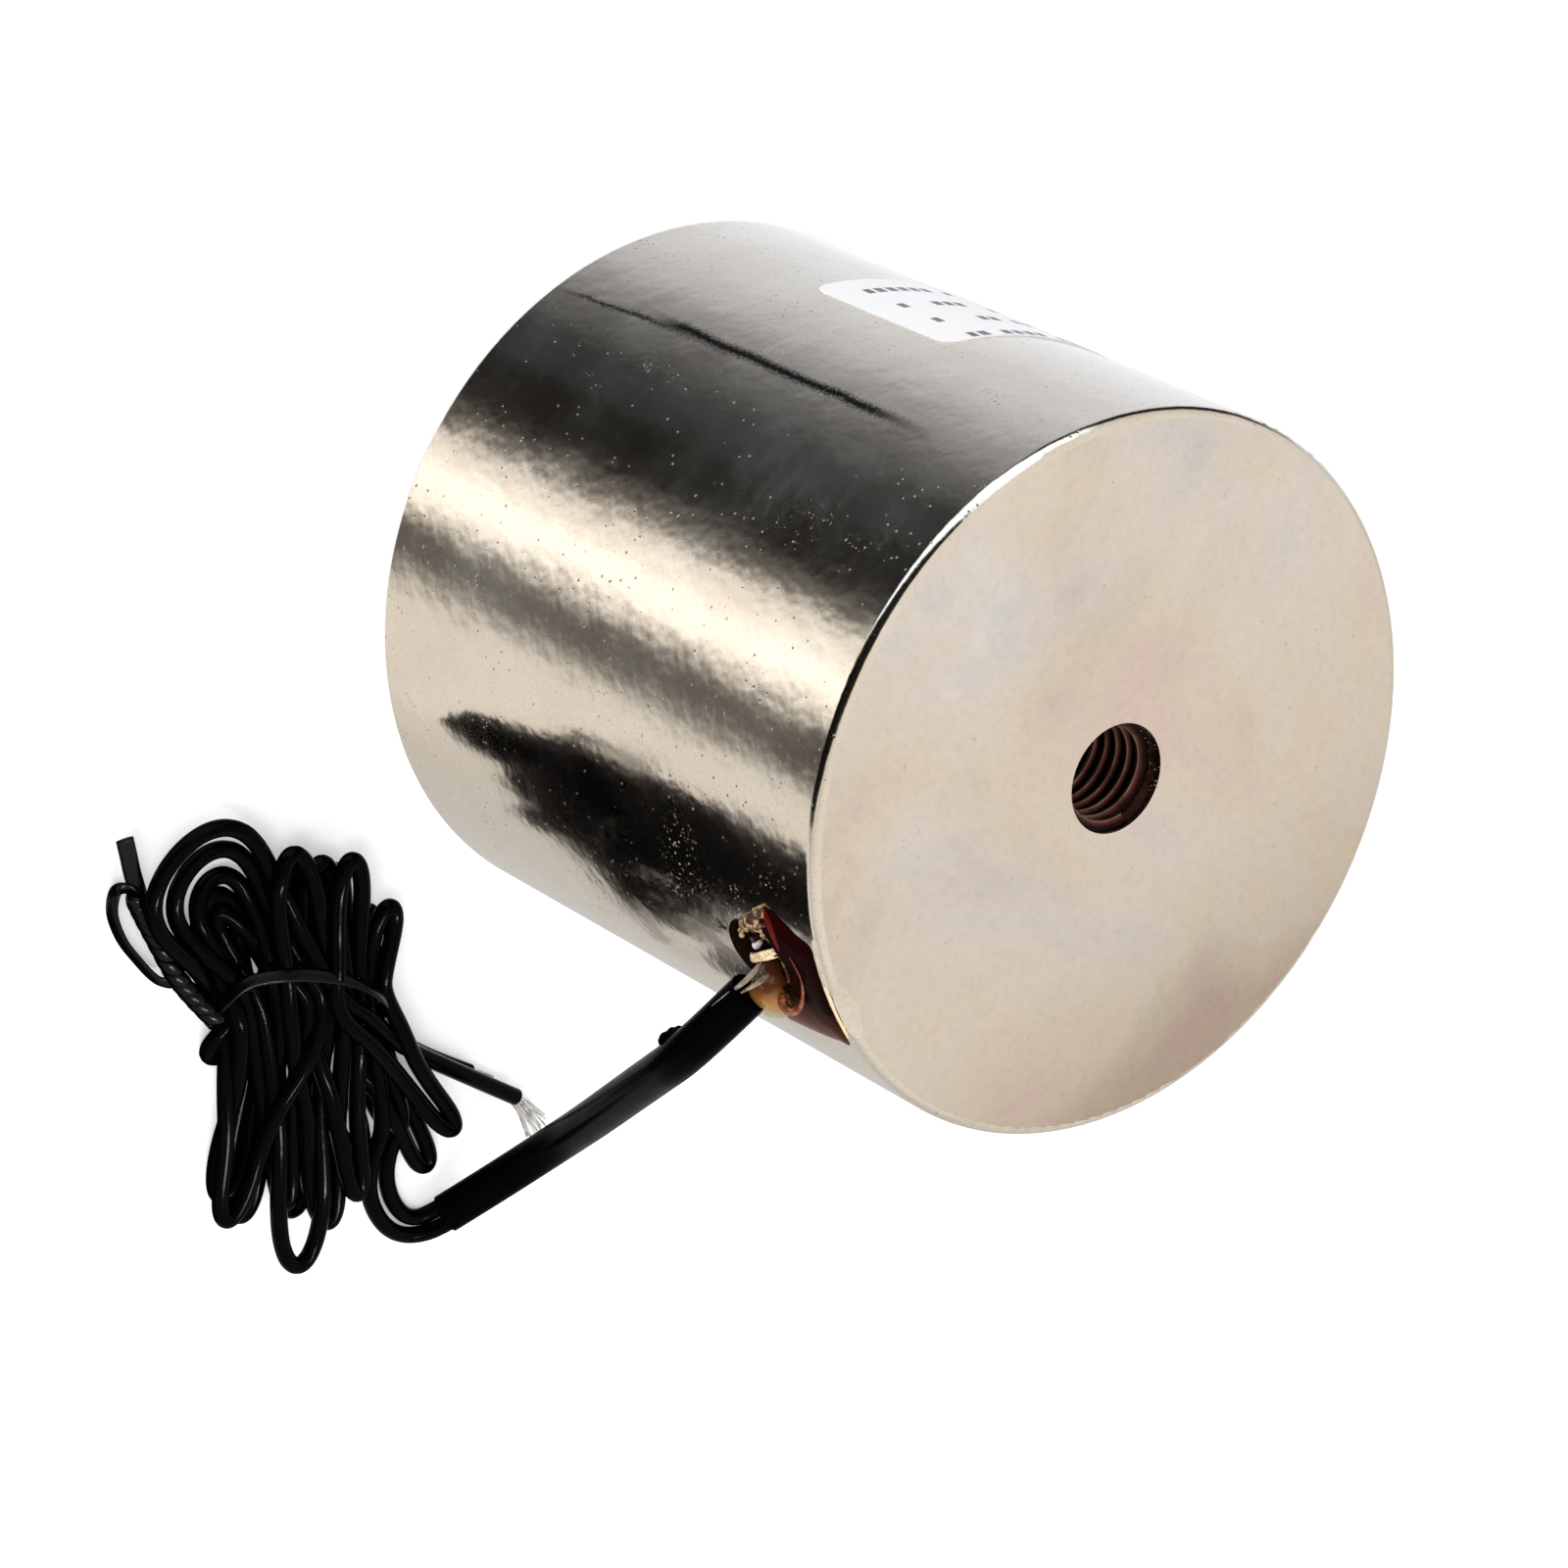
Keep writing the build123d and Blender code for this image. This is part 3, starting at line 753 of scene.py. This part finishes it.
# Two wires: thin black single cores that come out of the sleeve, are gathered in a hank of loose turns tied
# at its waist, and end beside it, stripped to their tinned strands. The turns are drawn bend by bend and
# then settle against one another, as the real ones lie.
wire_diameter = 2.0 * mm
wire_black = black_cover("wire_black", 0.12, 0.03)
waist = Vector((17.3 * mm, -23.8 * mm - body_radius, 0))
waist_angle = radians(-23)
along = Vector((cos(waist_angle), sin(waist_angle), 0))
across = Vector((-sin(waist_angle), cos(waist_angle), 0))
place_width = 2.1 * mm
lowest_layer = 1.9 * mm
layer_height = 1.85 * mm
turn_step = 2.2 * mm
settling_rounds = 110
tied_half_length = 1.6 * mm
tied_heights = (1.8 * mm, 5.8 * mm)
loose_heights = (1.0 * mm, 6.6 * mm)


def at_waist(place, layer):
    """Where a strand passes the tie: its place across the hank, and its layer from the floor up."""
    return waist + across * (place * place_width) + Vector((0, 0, lowest_layer + layer * layer_height))


def bend(start, end, tip, widths, lift):
    """One bend of a turn, out from the tie, round its tip and back, with each leg's own bulge."""
    root = (start + end) / 2
    root.z = 0
    out = Vector((tip[0] * mm, tip[1] * mm - body_radius, 0)) - root
    reach = out.length
    out.normalize()
    beside = Vector((-out.y, out.x, 0)) * mm
    shape = [(0.14, 0.28), (0.32, 0.54), (0.5, 0.78), (0.68, 0.98), (0.84, 1.04), (0.96, 0.76), (1.03, 0.28)]
    points = []
    for near, width, steps in ((start, widths[0], shape), (end, -widths[1], shape[::-1])):
        for share, wide in steps:
            fade = max(0.0, 1 - share / 0.62)
            spread = root + out * reach * share + beside * wide * width
            place = spread.lerp(near + out * reach * share, fade)
            place.z = near.z * fade + (1.0 + lift) * mm * (1 - fade)
            points.append(place)
    return points


def evenly(points, step):
    """The same line with its corners cut twice and its points at even steps."""
    for _ in range(2):
        pairs = list(zip(points, points[1:]))
        cut = [p for a, b in pairs for p in (a.lerp(b, 0.25), a.lerp(b, 0.75))]
        points = [points[0], *cut, points[-1]]
    line = np.array([tuple(p) for p in points])
    run = np.concatenate([[0], np.cumsum(np.linalg.norm(np.diff(line, axis=0), axis=1))])
    wanted = np.linspace(0, run[-1], int(round(run[-1] / step)) + 1)
    return np.stack([np.interp(wanted, run, line[:, axis]) for axis in range(3)], 1)


def turns(upper, lower):
    """One wire's turns: its bends above and below the tie by turns."""
    points = []
    for index, (left, right, tip, widths, lift) in enumerate(upper):
        start, end = at_waist(*left), at_waist(*right)
        points += [start, *bend(start, end, tip, widths, lift), end]
        if index < len(lower):
            points += bend(end, at_waist(*upper[index + 1][0]), *lower[index])
    return evenly(points, turn_step)


def settled(lines, held_ends):
    """The lines pushed apart where strands meet, and kept smooth, off the floor and inside the tie."""
    counts = np.cumsum([0] + [len(line) for line in lines])
    spans = [slice(a, b) for a, b in zip(counts, counts[1:])]
    spots = np.concatenate(lines)
    drawn = spots.copy()
    owner = np.repeat(range(len(lines)), np.diff(counts))
    order = np.arange(len(spots))
    free = np.ones(len(spots), bool)
    for span, (head, foot) in zip(spans, held_ends):
        free[span.start : span.start + head] = False
        free[span.stop - foot : span.stop] = False
    neighbours = (owner[:, None] == owner[None]) & (abs(order[:, None] - order[None]) <= 2)
    middle, over, aside = (np.array(tuple(v)) for v in (waist, along, across))
    for _ in range(settling_rounds):
        gap = spots[:, None] - spots[None]
        far = np.linalg.norm(gap, axis=2) + 1e-9
        close = (far < wire_diameter) & ~neighbours
        push = np.where(close[..., None], gap / far[..., None] * (wire_diameter - far)[..., None], 0).sum(1)
        spots += 0.45 * push / np.maximum(close.sum(1), 1)[:, None] * free[:, None]
        for span in spans:
            line = spots[span]
            smooth = line.copy()
            smooth[1:-1] += 0.1 * (line[:-2] + line[2:] - 2 * line[1:-1])
            smooth[2:-2] -= 0.04 * (line[:-4] - 4 * line[1:-3] + 6 * line[2:-2] - 4 * line[3:-1] + line[4:])
            spots[span] = np.where(free[span, None], smooth, line)
        spots += 0.05 * (drawn - spots) * free[:, None]
        spots[:, 2] -= 0.03 * mm * free
        tied = (abs((spots - middle) @ over) < tied_half_length) & free
        spots[tied] += 0.3 * ((drawn - spots) @ aside)[tied, None] * aside
        low = np.where(tied, tied_heights[0], loose_heights[0])
        high = np.where(tied, tied_heights[1], loose_heights[1])
        spots[:, 2] = np.where(free, np.clip(spots[:, 2], low, high), spots[:, 2])
    return [spots[span] for span in spans]


run_a = from_foot([(55.3, -17.27, 3.5), (56.0, -18.91, 2.38), (55.8, -21.2, 1.1), (53.9, -23.3, 1.0)])
run_a += from_foot([(50.7, -24.5, 1.0), (46.7, -24.4, 1.0), (42.6, -22.4, 1.3), (39.6, -20.0, 2.4)])
run_b = from_foot([(53.7, -17.13, 2.3), (54.34, -18.61, 1.29), (53.8, -20.4, 1.0), (51.9, -21.7, 1.0)])
run_b += from_foot([(48.9, -22.1, 1.0), (45.7, -21.4, 1.0), (42.8, -19.6, 1.3), (40.4, -17.2, 2.2)])
tail_a = from_foot([(23.6, -17.6, 5.0), (28.1, -16.0, 4.1), (32.3, -13.8, 3.4)])
tail_a += from_foot([(39.0, -9.2, 2.9), (47.8, -3.2, 1.6)])
tail_b = from_foot([(24.9, -16.8, 3.2), (30.8, -14.4, 1.6), (36.1, -11.2, 1.1), (41.2, -7.3, 1.0)])

# each bend above the tie: its first and second place and layer at the tie, tip, bulge of each leg, and lift
upper_a = [
    ((3.0, 1), (4.4, 2), (11.4, -8.8), (1.8, 1.8), 4.0),
    ((1.0, 2), (3.6, 1), (2.2, -12.1), (1.9, 1.9), 5.0),
    ((-0.4, 1), (2.6, 2), (1.2, -15.2), (2.2, 2.2), 3.6),
    ((-1.6, 2), (1.9, 1), (-2.8, -19.0), (2.8, 2.6), 4.6),
    ((-2.6, 1), (0.4, 2), (-0.4, -28.2), (1.4, 1.2), 0.8),
    ((-3.4, 1), (1.2, 2), (-6.6, -26.2), (8.6, 3.6), 2.6),
    ((-4.3, 0), (2.0, 2), (-9.8, -27.0), (10.8, 5.2), 4.2),
]
upper_b = [
    ((2.6, 0), (4.6, 0), (12.4, -10.2), (1.9, 1.9), 0.6),
    ((0.6, 0), (3.6, 0), (4.8, -13.1), (1.9, 1.9), 0.6),
    ((1.6, 0), (3.0, 1), (4.4, -17.0), (1.5, 1.5), 0.4),
    ((-2.8, 0), (0.6, 0), (2.0, -23.0), (3.2, 2.4), 0.2),
    ((-4.2, 2), (-0.4, 1), (-0.6, -27.2), (4.0, 1.8), 0.4),
    ((-3.9, 1), (-1.4, 2), (-2.8, -25.6), (5.4, 2.4), 1.0),
    ((-2.2, 0), (1.4, 0), (0.6, -17.4), (2.4, 2.2), 2.8),
    ((-1.2, 0), (2.2, 0), (5.0, -15.0), (2.4, 2.4), 0.2),
]
# each bend below it, between two of those above: its tip, bulges and lift
lower_a = [
    ((46.4, -12.6), (1.0, 1.0), 3.4),
    ((45.4, -27.6), (1.1, 1.1), 3.8),
    ((47.0, -31.4), (2.0, 2.0), 2.6),
    ((48.4, -37.2), (3.0, 2.8), 3.4),
    ((41.6, -35.4), (1.0, 1.0), 2.0),
    ((37.6, -43.4), (1.9, 1.9), 3.0),
]
lower_b = [
    ((50.4, -16.4), (1.25, 1.25), 0.8),
    ((42.6, -18.4), (1.0, 1.0), 0.6),
    ((43.8, -23.2), (1.5, 1.5), 0.6),
    ((35.8, -42.0), (1.8, 1.8), 0.8),
    ((18.0, -37.2), (2.6, 2.0), 0.8),
    ((40.2, -40.4), (2.2, 2.2), 0.4),
    ((44.0, -34.2), (2.4, 2.4), 0.4),
]

drawn_lines = []
for run, upper, lower, tail in ((run_a, upper_a, lower_a, tail_a), (run_b, upper_b, lower_b, tail_b)):
    ends = [np.array([tuple(p) for p in part]) for part in (run, tail)]
    drawn_lines.append(np.concatenate([ends[0], turns(upper, lower), ends[1]]))
line_a, line_b = settled(drawn_lines, [(len(run_a), len(tail_a)), (len(run_b), len(tail_b))])
wire_a = laid_cord("wire_a", line_a, wire_diameter, wire_black)
wire_b = laid_cord("wire_b", line_b, wire_diameter, wire_black)
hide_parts("lead_a_run", "lead_hank", "lead_a_tail")
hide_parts("lead_b_run", "lead_b_tail")

tin_wear = [(0.35, (0.5, 0.47, 0.42)), (0.6, (0.9, 0.88, 0.84))]
tinned = mottled("tinned_strands", (0.72, 0.70, 0.66), 1.0, 0.25, 900.0, 2.0, tin_wear)[0]
strand_radius = 0.13 * mm
bundle_radius = 0.62 * mm
golden_turn = 2.4


def bared_end(name, line, length, count, seed, spread_out):
    """Fine tinned strands that leave the insulation together and splay a little."""
    shuffled = random.Random(seed)
    end = Vector(line[-1])
    forward = (end - Vector(line[-2])).normalized()
    side = forward.cross(Vector((0, 0, 1))).normalized()
    rise = side.cross(forward)
    strands = []
    for index in range(count):
        turn = index * golden_turn
        spread = bundle_radius * (index / count) ** 0.5
        offset = side * cos(turn) * spread + rise * sin(turn) * spread
        reach = length * shuffled.uniform(0.8, 1.0)
        splay = 1.2 + shuffled.uniform(0.2, 1.5) * spread_out
        wander = (side * shuffled.uniform(1.0, 3.4) + rise * 0.2) * spread_out * mm
        strand = []
        for share in (-0.15, 0.3, 0.65, 1.0):
            opened = 1 + (splay - 1) * max(share, 0.0)
            place = end + forward * reach * share + offset * opened + wander * max(share, 0.0)
            place.z = max(place.z, 0.12 * mm)
            strand.append(place)
        strands.append(strand)
    bundle = round_line(name, strands, strand_radius, 1, capped=False)
    return finished(bundle, tinned)


bared_a = bared_end("bared_a", line_a, 6.4 * mm, 15, 3, 1.0)
bared_b = bared_end("bared_b", line_b, 4.6 * mm, 6, 8, 0.25)
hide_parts("strands_a")
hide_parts("strands_b")


# Twist tie: a flat black plastic strip with a wire core, bowed over the hank's waist, twisted to a rope
# beside it, and ending in one free end and one folded loop.
tie_width = 1.5 * mm
tie_thickness = 0.45 * mm
tie_clearance = 0.3 * mm
tie_black = black_cover("tie_plastic", 0.22, 0.16)
strip_corners = 12
rope_steps = 110
rope_turns = 6.0
rope_radius = 0.72 * mm


def hank_top(place):
    """How high the wires reach at a place on the floor."""
    heights = [0.0]
    for line in (line_a, line_b):
        near = np.linalg.norm(line[:, :2] - np.array(place[:2]), axis=1)
        heights += list(line[near < 1.9 * mm, 2] + wire_diameter / 2)
    return max(heights)


def smooth_line(points, count):
    """Even points on the smooth curve through the given ones."""
    ends = [points[0] * 2 - points[1], *points, points[-1] * 2 - points[-2]]
    line = []
    for step in range(count + 1):
        place = min(step / count * (len(points) - 1), len(points) - 1.0001)
        line.append(between(*ends[int(place) : int(place) + 4], place - int(place)))
    return line


def way_ahead(line, index):
    return (line[min(index + 1, len(line) - 1)] - line[max(index - 1, 0)]).normalized()


def strip(name, line, faces_along, width, thickness, turn_along=0.0):
    """A flat strip along a line: its face turned towards a direction, or twisting as it goes."""
    mesh = bmesh.new()
    rings = []
    for index, place in enumerate(line):
        ahead = way_ahead(line, index)
        facing = faces_along[index] if isinstance(faces_along, list) else faces_along
        side = ahead.cross(facing).normalized()
        side = Matrix.Rotation(turn_along * index / (len(line) - 1), 3, ahead) @ side
        up = side.cross(ahead)
        corners = []
        for step in range(strip_corners):
            angle = 2 * pi * step / strip_corners
            wide = max(-1.0, min(1.0, cos(angle) * 1.16)) * width / 2
            corners.append(mesh.verts.new(place + side * wide + up * sin(angle) * thickness / 2))
        rings.append(corners)
    for first, second in zip(rings, rings[1:]):
        for step in range(strip_corners):
            mesh.faces.new((first[step], first[step - 1], second[step - 1], second[step]))
    mesh.faces.new(rings[0])
    mesh.faces.new(rings[-1][::-1])
    return finished(piece_from(name, mesh), tie_black)


over_hank = from_foot([(12.4, -34.4, 2.8), (10.4, -32.6, 6), (9.4, -29.6, 7), (11.2, -25.2, 7)])
over_hank += from_foot([(14.0, -21.6, 7), (17.4, -18.3, 7), (21.6, -15.9, 6), (25.6, -14.6, 3.0)])
for place in over_hank[1:-1]:
    place.z = hank_top(place) + tie_clearance
for _ in range(2):
    for before, place, after in zip(over_hank, over_hank[1:-1], over_hank[2:]):
        place.z = max(place.z, (before.z + after.z) / 2)
under_hank = from_foot([(26.0, -15.2, 0.5), (22.0, -19.0, 0.35), (16.4, -26.2, 0.35), (12.8, -32.6, 0.5)])
loop_line = smooth_line([*over_hank, *under_hank, over_hank[0].copy()], 96)
loop_middle = from_foot([(17.5, -24.6, 3.2)])[0]
outward = []
for place in loop_line:
    flat = place - loop_middle
    flat -= along * flat.dot(along) * 0.6
    outward.append(flat.normalized())
tie_band = strip("tie_band", loop_line, outward, tie_width, tie_thickness)
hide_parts("twist_tie")

rope_route = from_foot([(12.4, -34.3, 3.9), (8.7, -35.3, 3.1), (5.2, -36.0, 2.5), (0.6, -36.3, 2.2)])
rope_route += from_foot([(-3.5, -36.6, 2.2), (-6.5, -36.8, 2.5)])
rope_line = smooth_line(rope_route, rope_steps)
tie_pieces = [tie_band]
for name, phase in (("tie_twist_a", 0.0), ("tie_twist_b", pi)):
    strand = []
    for index, place in enumerate(rope_line):
        ahead = way_ahead(rope_line, index)
        side = ahead.cross(Vector((0, 0, 1))).normalized()
        angle = phase + 2 * pi * rope_turns * index / rope_steps
        strand.append(place + (side * cos(angle) + side.cross(ahead) * sin(angle)) * rope_radius)
    outer = [(spot - place).normalized() for spot, place in zip(strand, rope_line)]
    tie_pieces.append(strip(name, strand, outer, tie_width * 1.05, tie_thickness * 2.0))
free_route = from_foot([(-6.0, -36.2, 2.3), (-9.7, -36.2, 3.2), (-12.6, -36.2, 4.2), (-15.0, -36.2, 5.0)])
free_end = smooth_line(free_route, 24)
up_to_view = Vector((-0.566, -0.390, 0.726))
tie_pieces.append(strip("tie_free_end", free_end, up_to_view, tie_width * 1.3, tie_thickness, 0.3))
fold = from_foot([(-6.2, -36.5, 2.4), (-7.7, -37.1, 2.4), (-8.3, -38.5, 2.4), (-5.9, -39.7, 2.0)])
fold += from_foot([(-2.1, -39.7, 1.5), (1.5, -38.9, 1.2), (5.0, -37.8, 1.2), (6.6, -36.4, 1.8)])
fold_faces = Vector((-0.3, -0.75, 0.6))
tie_pieces.append(strip("tie_fold", smooth_line(fold, 48), fold_faces, tie_width * 0.95, tie_thickness, 0.3))

for wire, pieces in ((wire_a, [bared_a, *tie_pieces]), (wire_b, [bared_b])):
    path = centreline(wire)


# Label: white satin film wrapped on the wall, with rows of plain dark blocks in place of print.
print_start, print_end = radians(118), radians(155.5)
print_foot = 27.4 * mm
row_step = 5.85 * mm
row_count = 4.0
block_step = radians(2.3)


def label_film():
    finish, shader = grained("label_film", (0.93, 0.93, 0.93), 0.0, 0.4, 900.0, 0.08, 0.98, 0.25)
    film = shader.inputs["Base Color"].links[0].from_socket
    axes = split(on_object(finish))
    around = maths("ARCTAN2", axes["Y"], axes["X"])
    cell = maths("DIVIDE", around, block_step)
    row = maths("DIVIDE", minus(axes["Z"], print_foot), row_step)
    from_middle = maths("ABSOLUTE", minus(maths("FRACT", row), 0.5))
    inputs = {"X": maths("FLOOR", cell), "Y": maths("FLOOR", row)}
    block = add(finish.node_tree, "ShaderNodeCombineXYZ", inputs).outputs[0]
    chance = add(finish.node_tree, "ShaderNodeTexWhiteNoise", {"Vector": block}).outputs["Value"]
    printed = times(
        maths("GREATER_THAN", around, print_start),
        maths("LESS_THAN", around, print_end),
        maths("GREATER_THAN", row, 0.0),
        maths("LESS_THAN", row, row_count),
        maths("LESS_THAN", from_middle, 0.13),
        maths("LESS_THAN", maths("FRACT", cell), 0.72),
        maths("GREATER_THAN", chance, 0.42),
    )
    feed(shader, {"Base Color": blend(printed, film, (0.16, 0.16, 0.17))})
    return finish


dress_node("rating_label", label_film())


# Studio: a pale floor that keeps the shadow, a white sky, and a softer striped sky that only shows in gloss.
bpy.ops.mesh.primitive_plane_add(size=6, location=(0, 0, -0.1 * mm))
floor = bpy.context.object
floor.name = "floor"
pale_floor, shader = new_finish("pale_floor", (0.96, 0.96, 0.96), 0.0, 0.9, 0.0)
seen_directly = add(pale_floor.node_tree, "ShaderNodeLightPath").outputs["Is Camera Ray"]
feed(shader, {"Emission Color": white, "Emission Strength": times(seen_directly, 0.3)})
floor.data.materials.append(pale_floor)
floor.visible_glossy = False

# a black card on the floor that only the nickel wall mirrors: it carries the hank's reflection on to the rim
card_outline = [(-3, -46.5), (-5.5, -51), (-4.5, -63), (-6, -90), (-7, -98), (-4, -106), (0, -190)]
card_outline += [(100, -190), (52, -116), (43, -98), (39, -86), (34, -75), (26, -67), (17, -61), (8, -56)]
card_outline += [(1.5, -49.5)]
card = bmesh.new()
card.faces.new([card.verts.new((x * mm, y * mm, -0.05 * mm)) for x, y in card_outline])
dark_card = piece_from("dark_card", card, smooth=False)
dark_card.data.materials.append(new_finish("dull_black", (0.003, 0.003, 0.003), 0.0, 0.9, 0.0)[0])
for rays_kind in ("camera", "diffuse", "shadow", "transmission"):
    setattr(dark_card, f"visible_{rays_kind}", False)

world = bpy.data.worlds.new("studio")
bpy.context.scene.world = world
world.use_nodes = True
sky = world.node_tree
sky.nodes.clear()
rays = add(sky, "ShaderNodeLightPath").outputs
heading = split(add(sky, "ShaderNodeTexCoord").outputs["Generated"])
bearing = mapped(maths("ARCTAN2", heading["Y"], heading["X"]), -pi, pi)
height = mapped(heading["Z"], -1.0, 1.0)


def at_bearing(angle):
    """Where a bearing in degrees from +X towards +Y lies on the sky's ramps."""
    return (angle + 180) % 360 / 360


def grey_ramp(value, stops):
    """A ramp of greys from a list of (place, brightness)."""
    return ramp(value, [(place, grey(bright)) for place, bright in stops])


# how bright the sky below the horizon looks at each bearing in degrees; from 60 to 180 it is a cooler grey
below = [(0, 0.62), (22, 0.62), (44, 1.08), (70, 0.92), (108, 0.74), (122, 0.60), (138, 0.34), (152, 0.13)]
below += [(168, 0.035), (180, 0.014), (197, 0.014), (206, 0.12), (216, 1.05), (228, 1.55), (235, 1.30)]
below += [(240, 0.50), (244, 0.11), (253, 0.10), (259, 0.36), (266, 0.84), (300, 0.86), (318, 0.66)]
below += [(340, 0.62)]
cool = (0.97, 1.05, 1.19)
low_stops = []
for angle, bright in below:
    tint = cool if 60 < angle < 180 else white
    low_stops.append((at_bearing(angle), tuple(bright * part for part in tint)))
low_sky = ramp(bearing, sorted(low_stops), "EASE")
high_sky = grey_ramp(mapped(heading["Z"], 0.0, 1.0), [(0.0, 0.55), (0.25, 0.7), (0.6, 0.80), (1.0, 0.88)])
gloss_sky = blend(mapped(heading["Z"], -0.25, 0.05), low_sky, high_sky)

# what only the pot's rounded rim mirrors, the level parts of the room: dark, with one bright window
window = (1.3, 1.5, 1.75)
room = [(0, grey(0)), (78, grey(0)), (84, grey(0.01)), (130, grey(0.01)), (135, window), (188, window)]
room += [(192, grey(0.005)), (262, grey(0.005)), (272, grey(0.8))]
room_stops = sorted((at_bearing(angle), colour) for angle, colour in room)
leaning = maths("FRACT", plus(plus(times(heading["Z"], 0.11), 1.0), bearing))
wide_band = grey_ramp(height, [(0.0, 0), (0.19, 0), (0.22, 1), (0.87, 1), (0.91, 0)])
wide_bearings = grey_ramp(bearing, [(0.0, 1), (0.225, 1), (0.245, 0), (0.855, 0), (0.87, 1), (1.0, 1)])
narrow_band = grey_ramp(height, [(0.0, 0), (0.25, 0), (0.29, 1), (0.50, 1), (0.56, 0)])
narrow_bearings = grey_ramp(bearing, [(0.0, 0), (0.71, 0), (0.73, 1), (0.855, 1), (0.87, 0), (1.0, 0)])
in_room = plus(times(wide_band, wide_bearings), times(narrow_band, narrow_bearings))
gloss_sky = blend(in_room, gloss_sky, ramp(leaning, room_stops))

by_gloss = maths("MAXIMUM", rays["Is Glossy Ray"], rays["Is Transmission Ray"])
colour = blend(rays["Is Camera Ray"], blend(by_gloss, grey(0.95), gloss_sky), white)
background = add(sky, "ShaderNodeBackground", {"Color": colour, "Strength": 1.0})
feed(add(sky, "ShaderNodeOutputWorld"), {"Surface": background.outputs[0]})


def softbox(name, place, target, size, power):
    lamp = bpy.data.lights.new(name, "AREA")
    lamp.shape = "RECTANGLE"
    lamp.size, lamp.size_y = size
    lamp.energy = power
    holder = placed(name, lamp)
    holder.location = place
    holder.rotation_mode = "QUATERNION"
    holder.rotation_quaternion = (Vector(target) - Vector(place)).to_track_quat("-Z", "Y")
    return holder


key = softbox("key", (-0.35, -0.5, 0.7), (0.0, -0.03, 0.03), (0.25, 0.25), 2.2)
key.visible_glossy = False
fill = softbox("fill", (0.45, -0.55, 0.35), (0.02, -0.06, 0.0), (0.4, 0.035), 2.6)
fill.visible_glossy = False
# a thin light overhead, turned along the hank, that only draws the streaks on the black plastic
streak = softbox("streak", (0.265, -0.168, 0.75), (0.017, -0.064, 0.0), (0.35, 0.02), 4.0)
streak.visible_diffuse = False
black_pieces = bpy.data.collections.new("black pieces")
for piece in (wire_a, wire_b, *tie_pieces):
    black_pieces.objects.link(piece)
streak.light_linking.receiver_collection = black_pieces


# Camera: the photograph's own view, taken from above the wall opposite the exit and rolled onto its side.
camera = placed("camera", bpy.data.cameras.new("camera"))
camera_place = Vector((-356.45, -265.777, 501.528)) * mm
camera_right = Vector((0.26714, 0.746107, 0.609915))
camera_forward = Vector((0.566425, 0.390497, -0.725743))
camera_up = camera_right.cross(camera_forward)
turned = Matrix((camera_right, camera_up, -camera_forward)).transposed().to_4x4()
camera.matrix_world = Matrix.Translation(camera_place) @ turned
camera.data.sensor_width = 36
camera.data.lens = 135.395
camera.data.clip_start = 0.05
camera.data.clip_end = 20
bpy.context.scene.camera = camera
bpy.context.scene.view_settings.view_transform = "Standard"
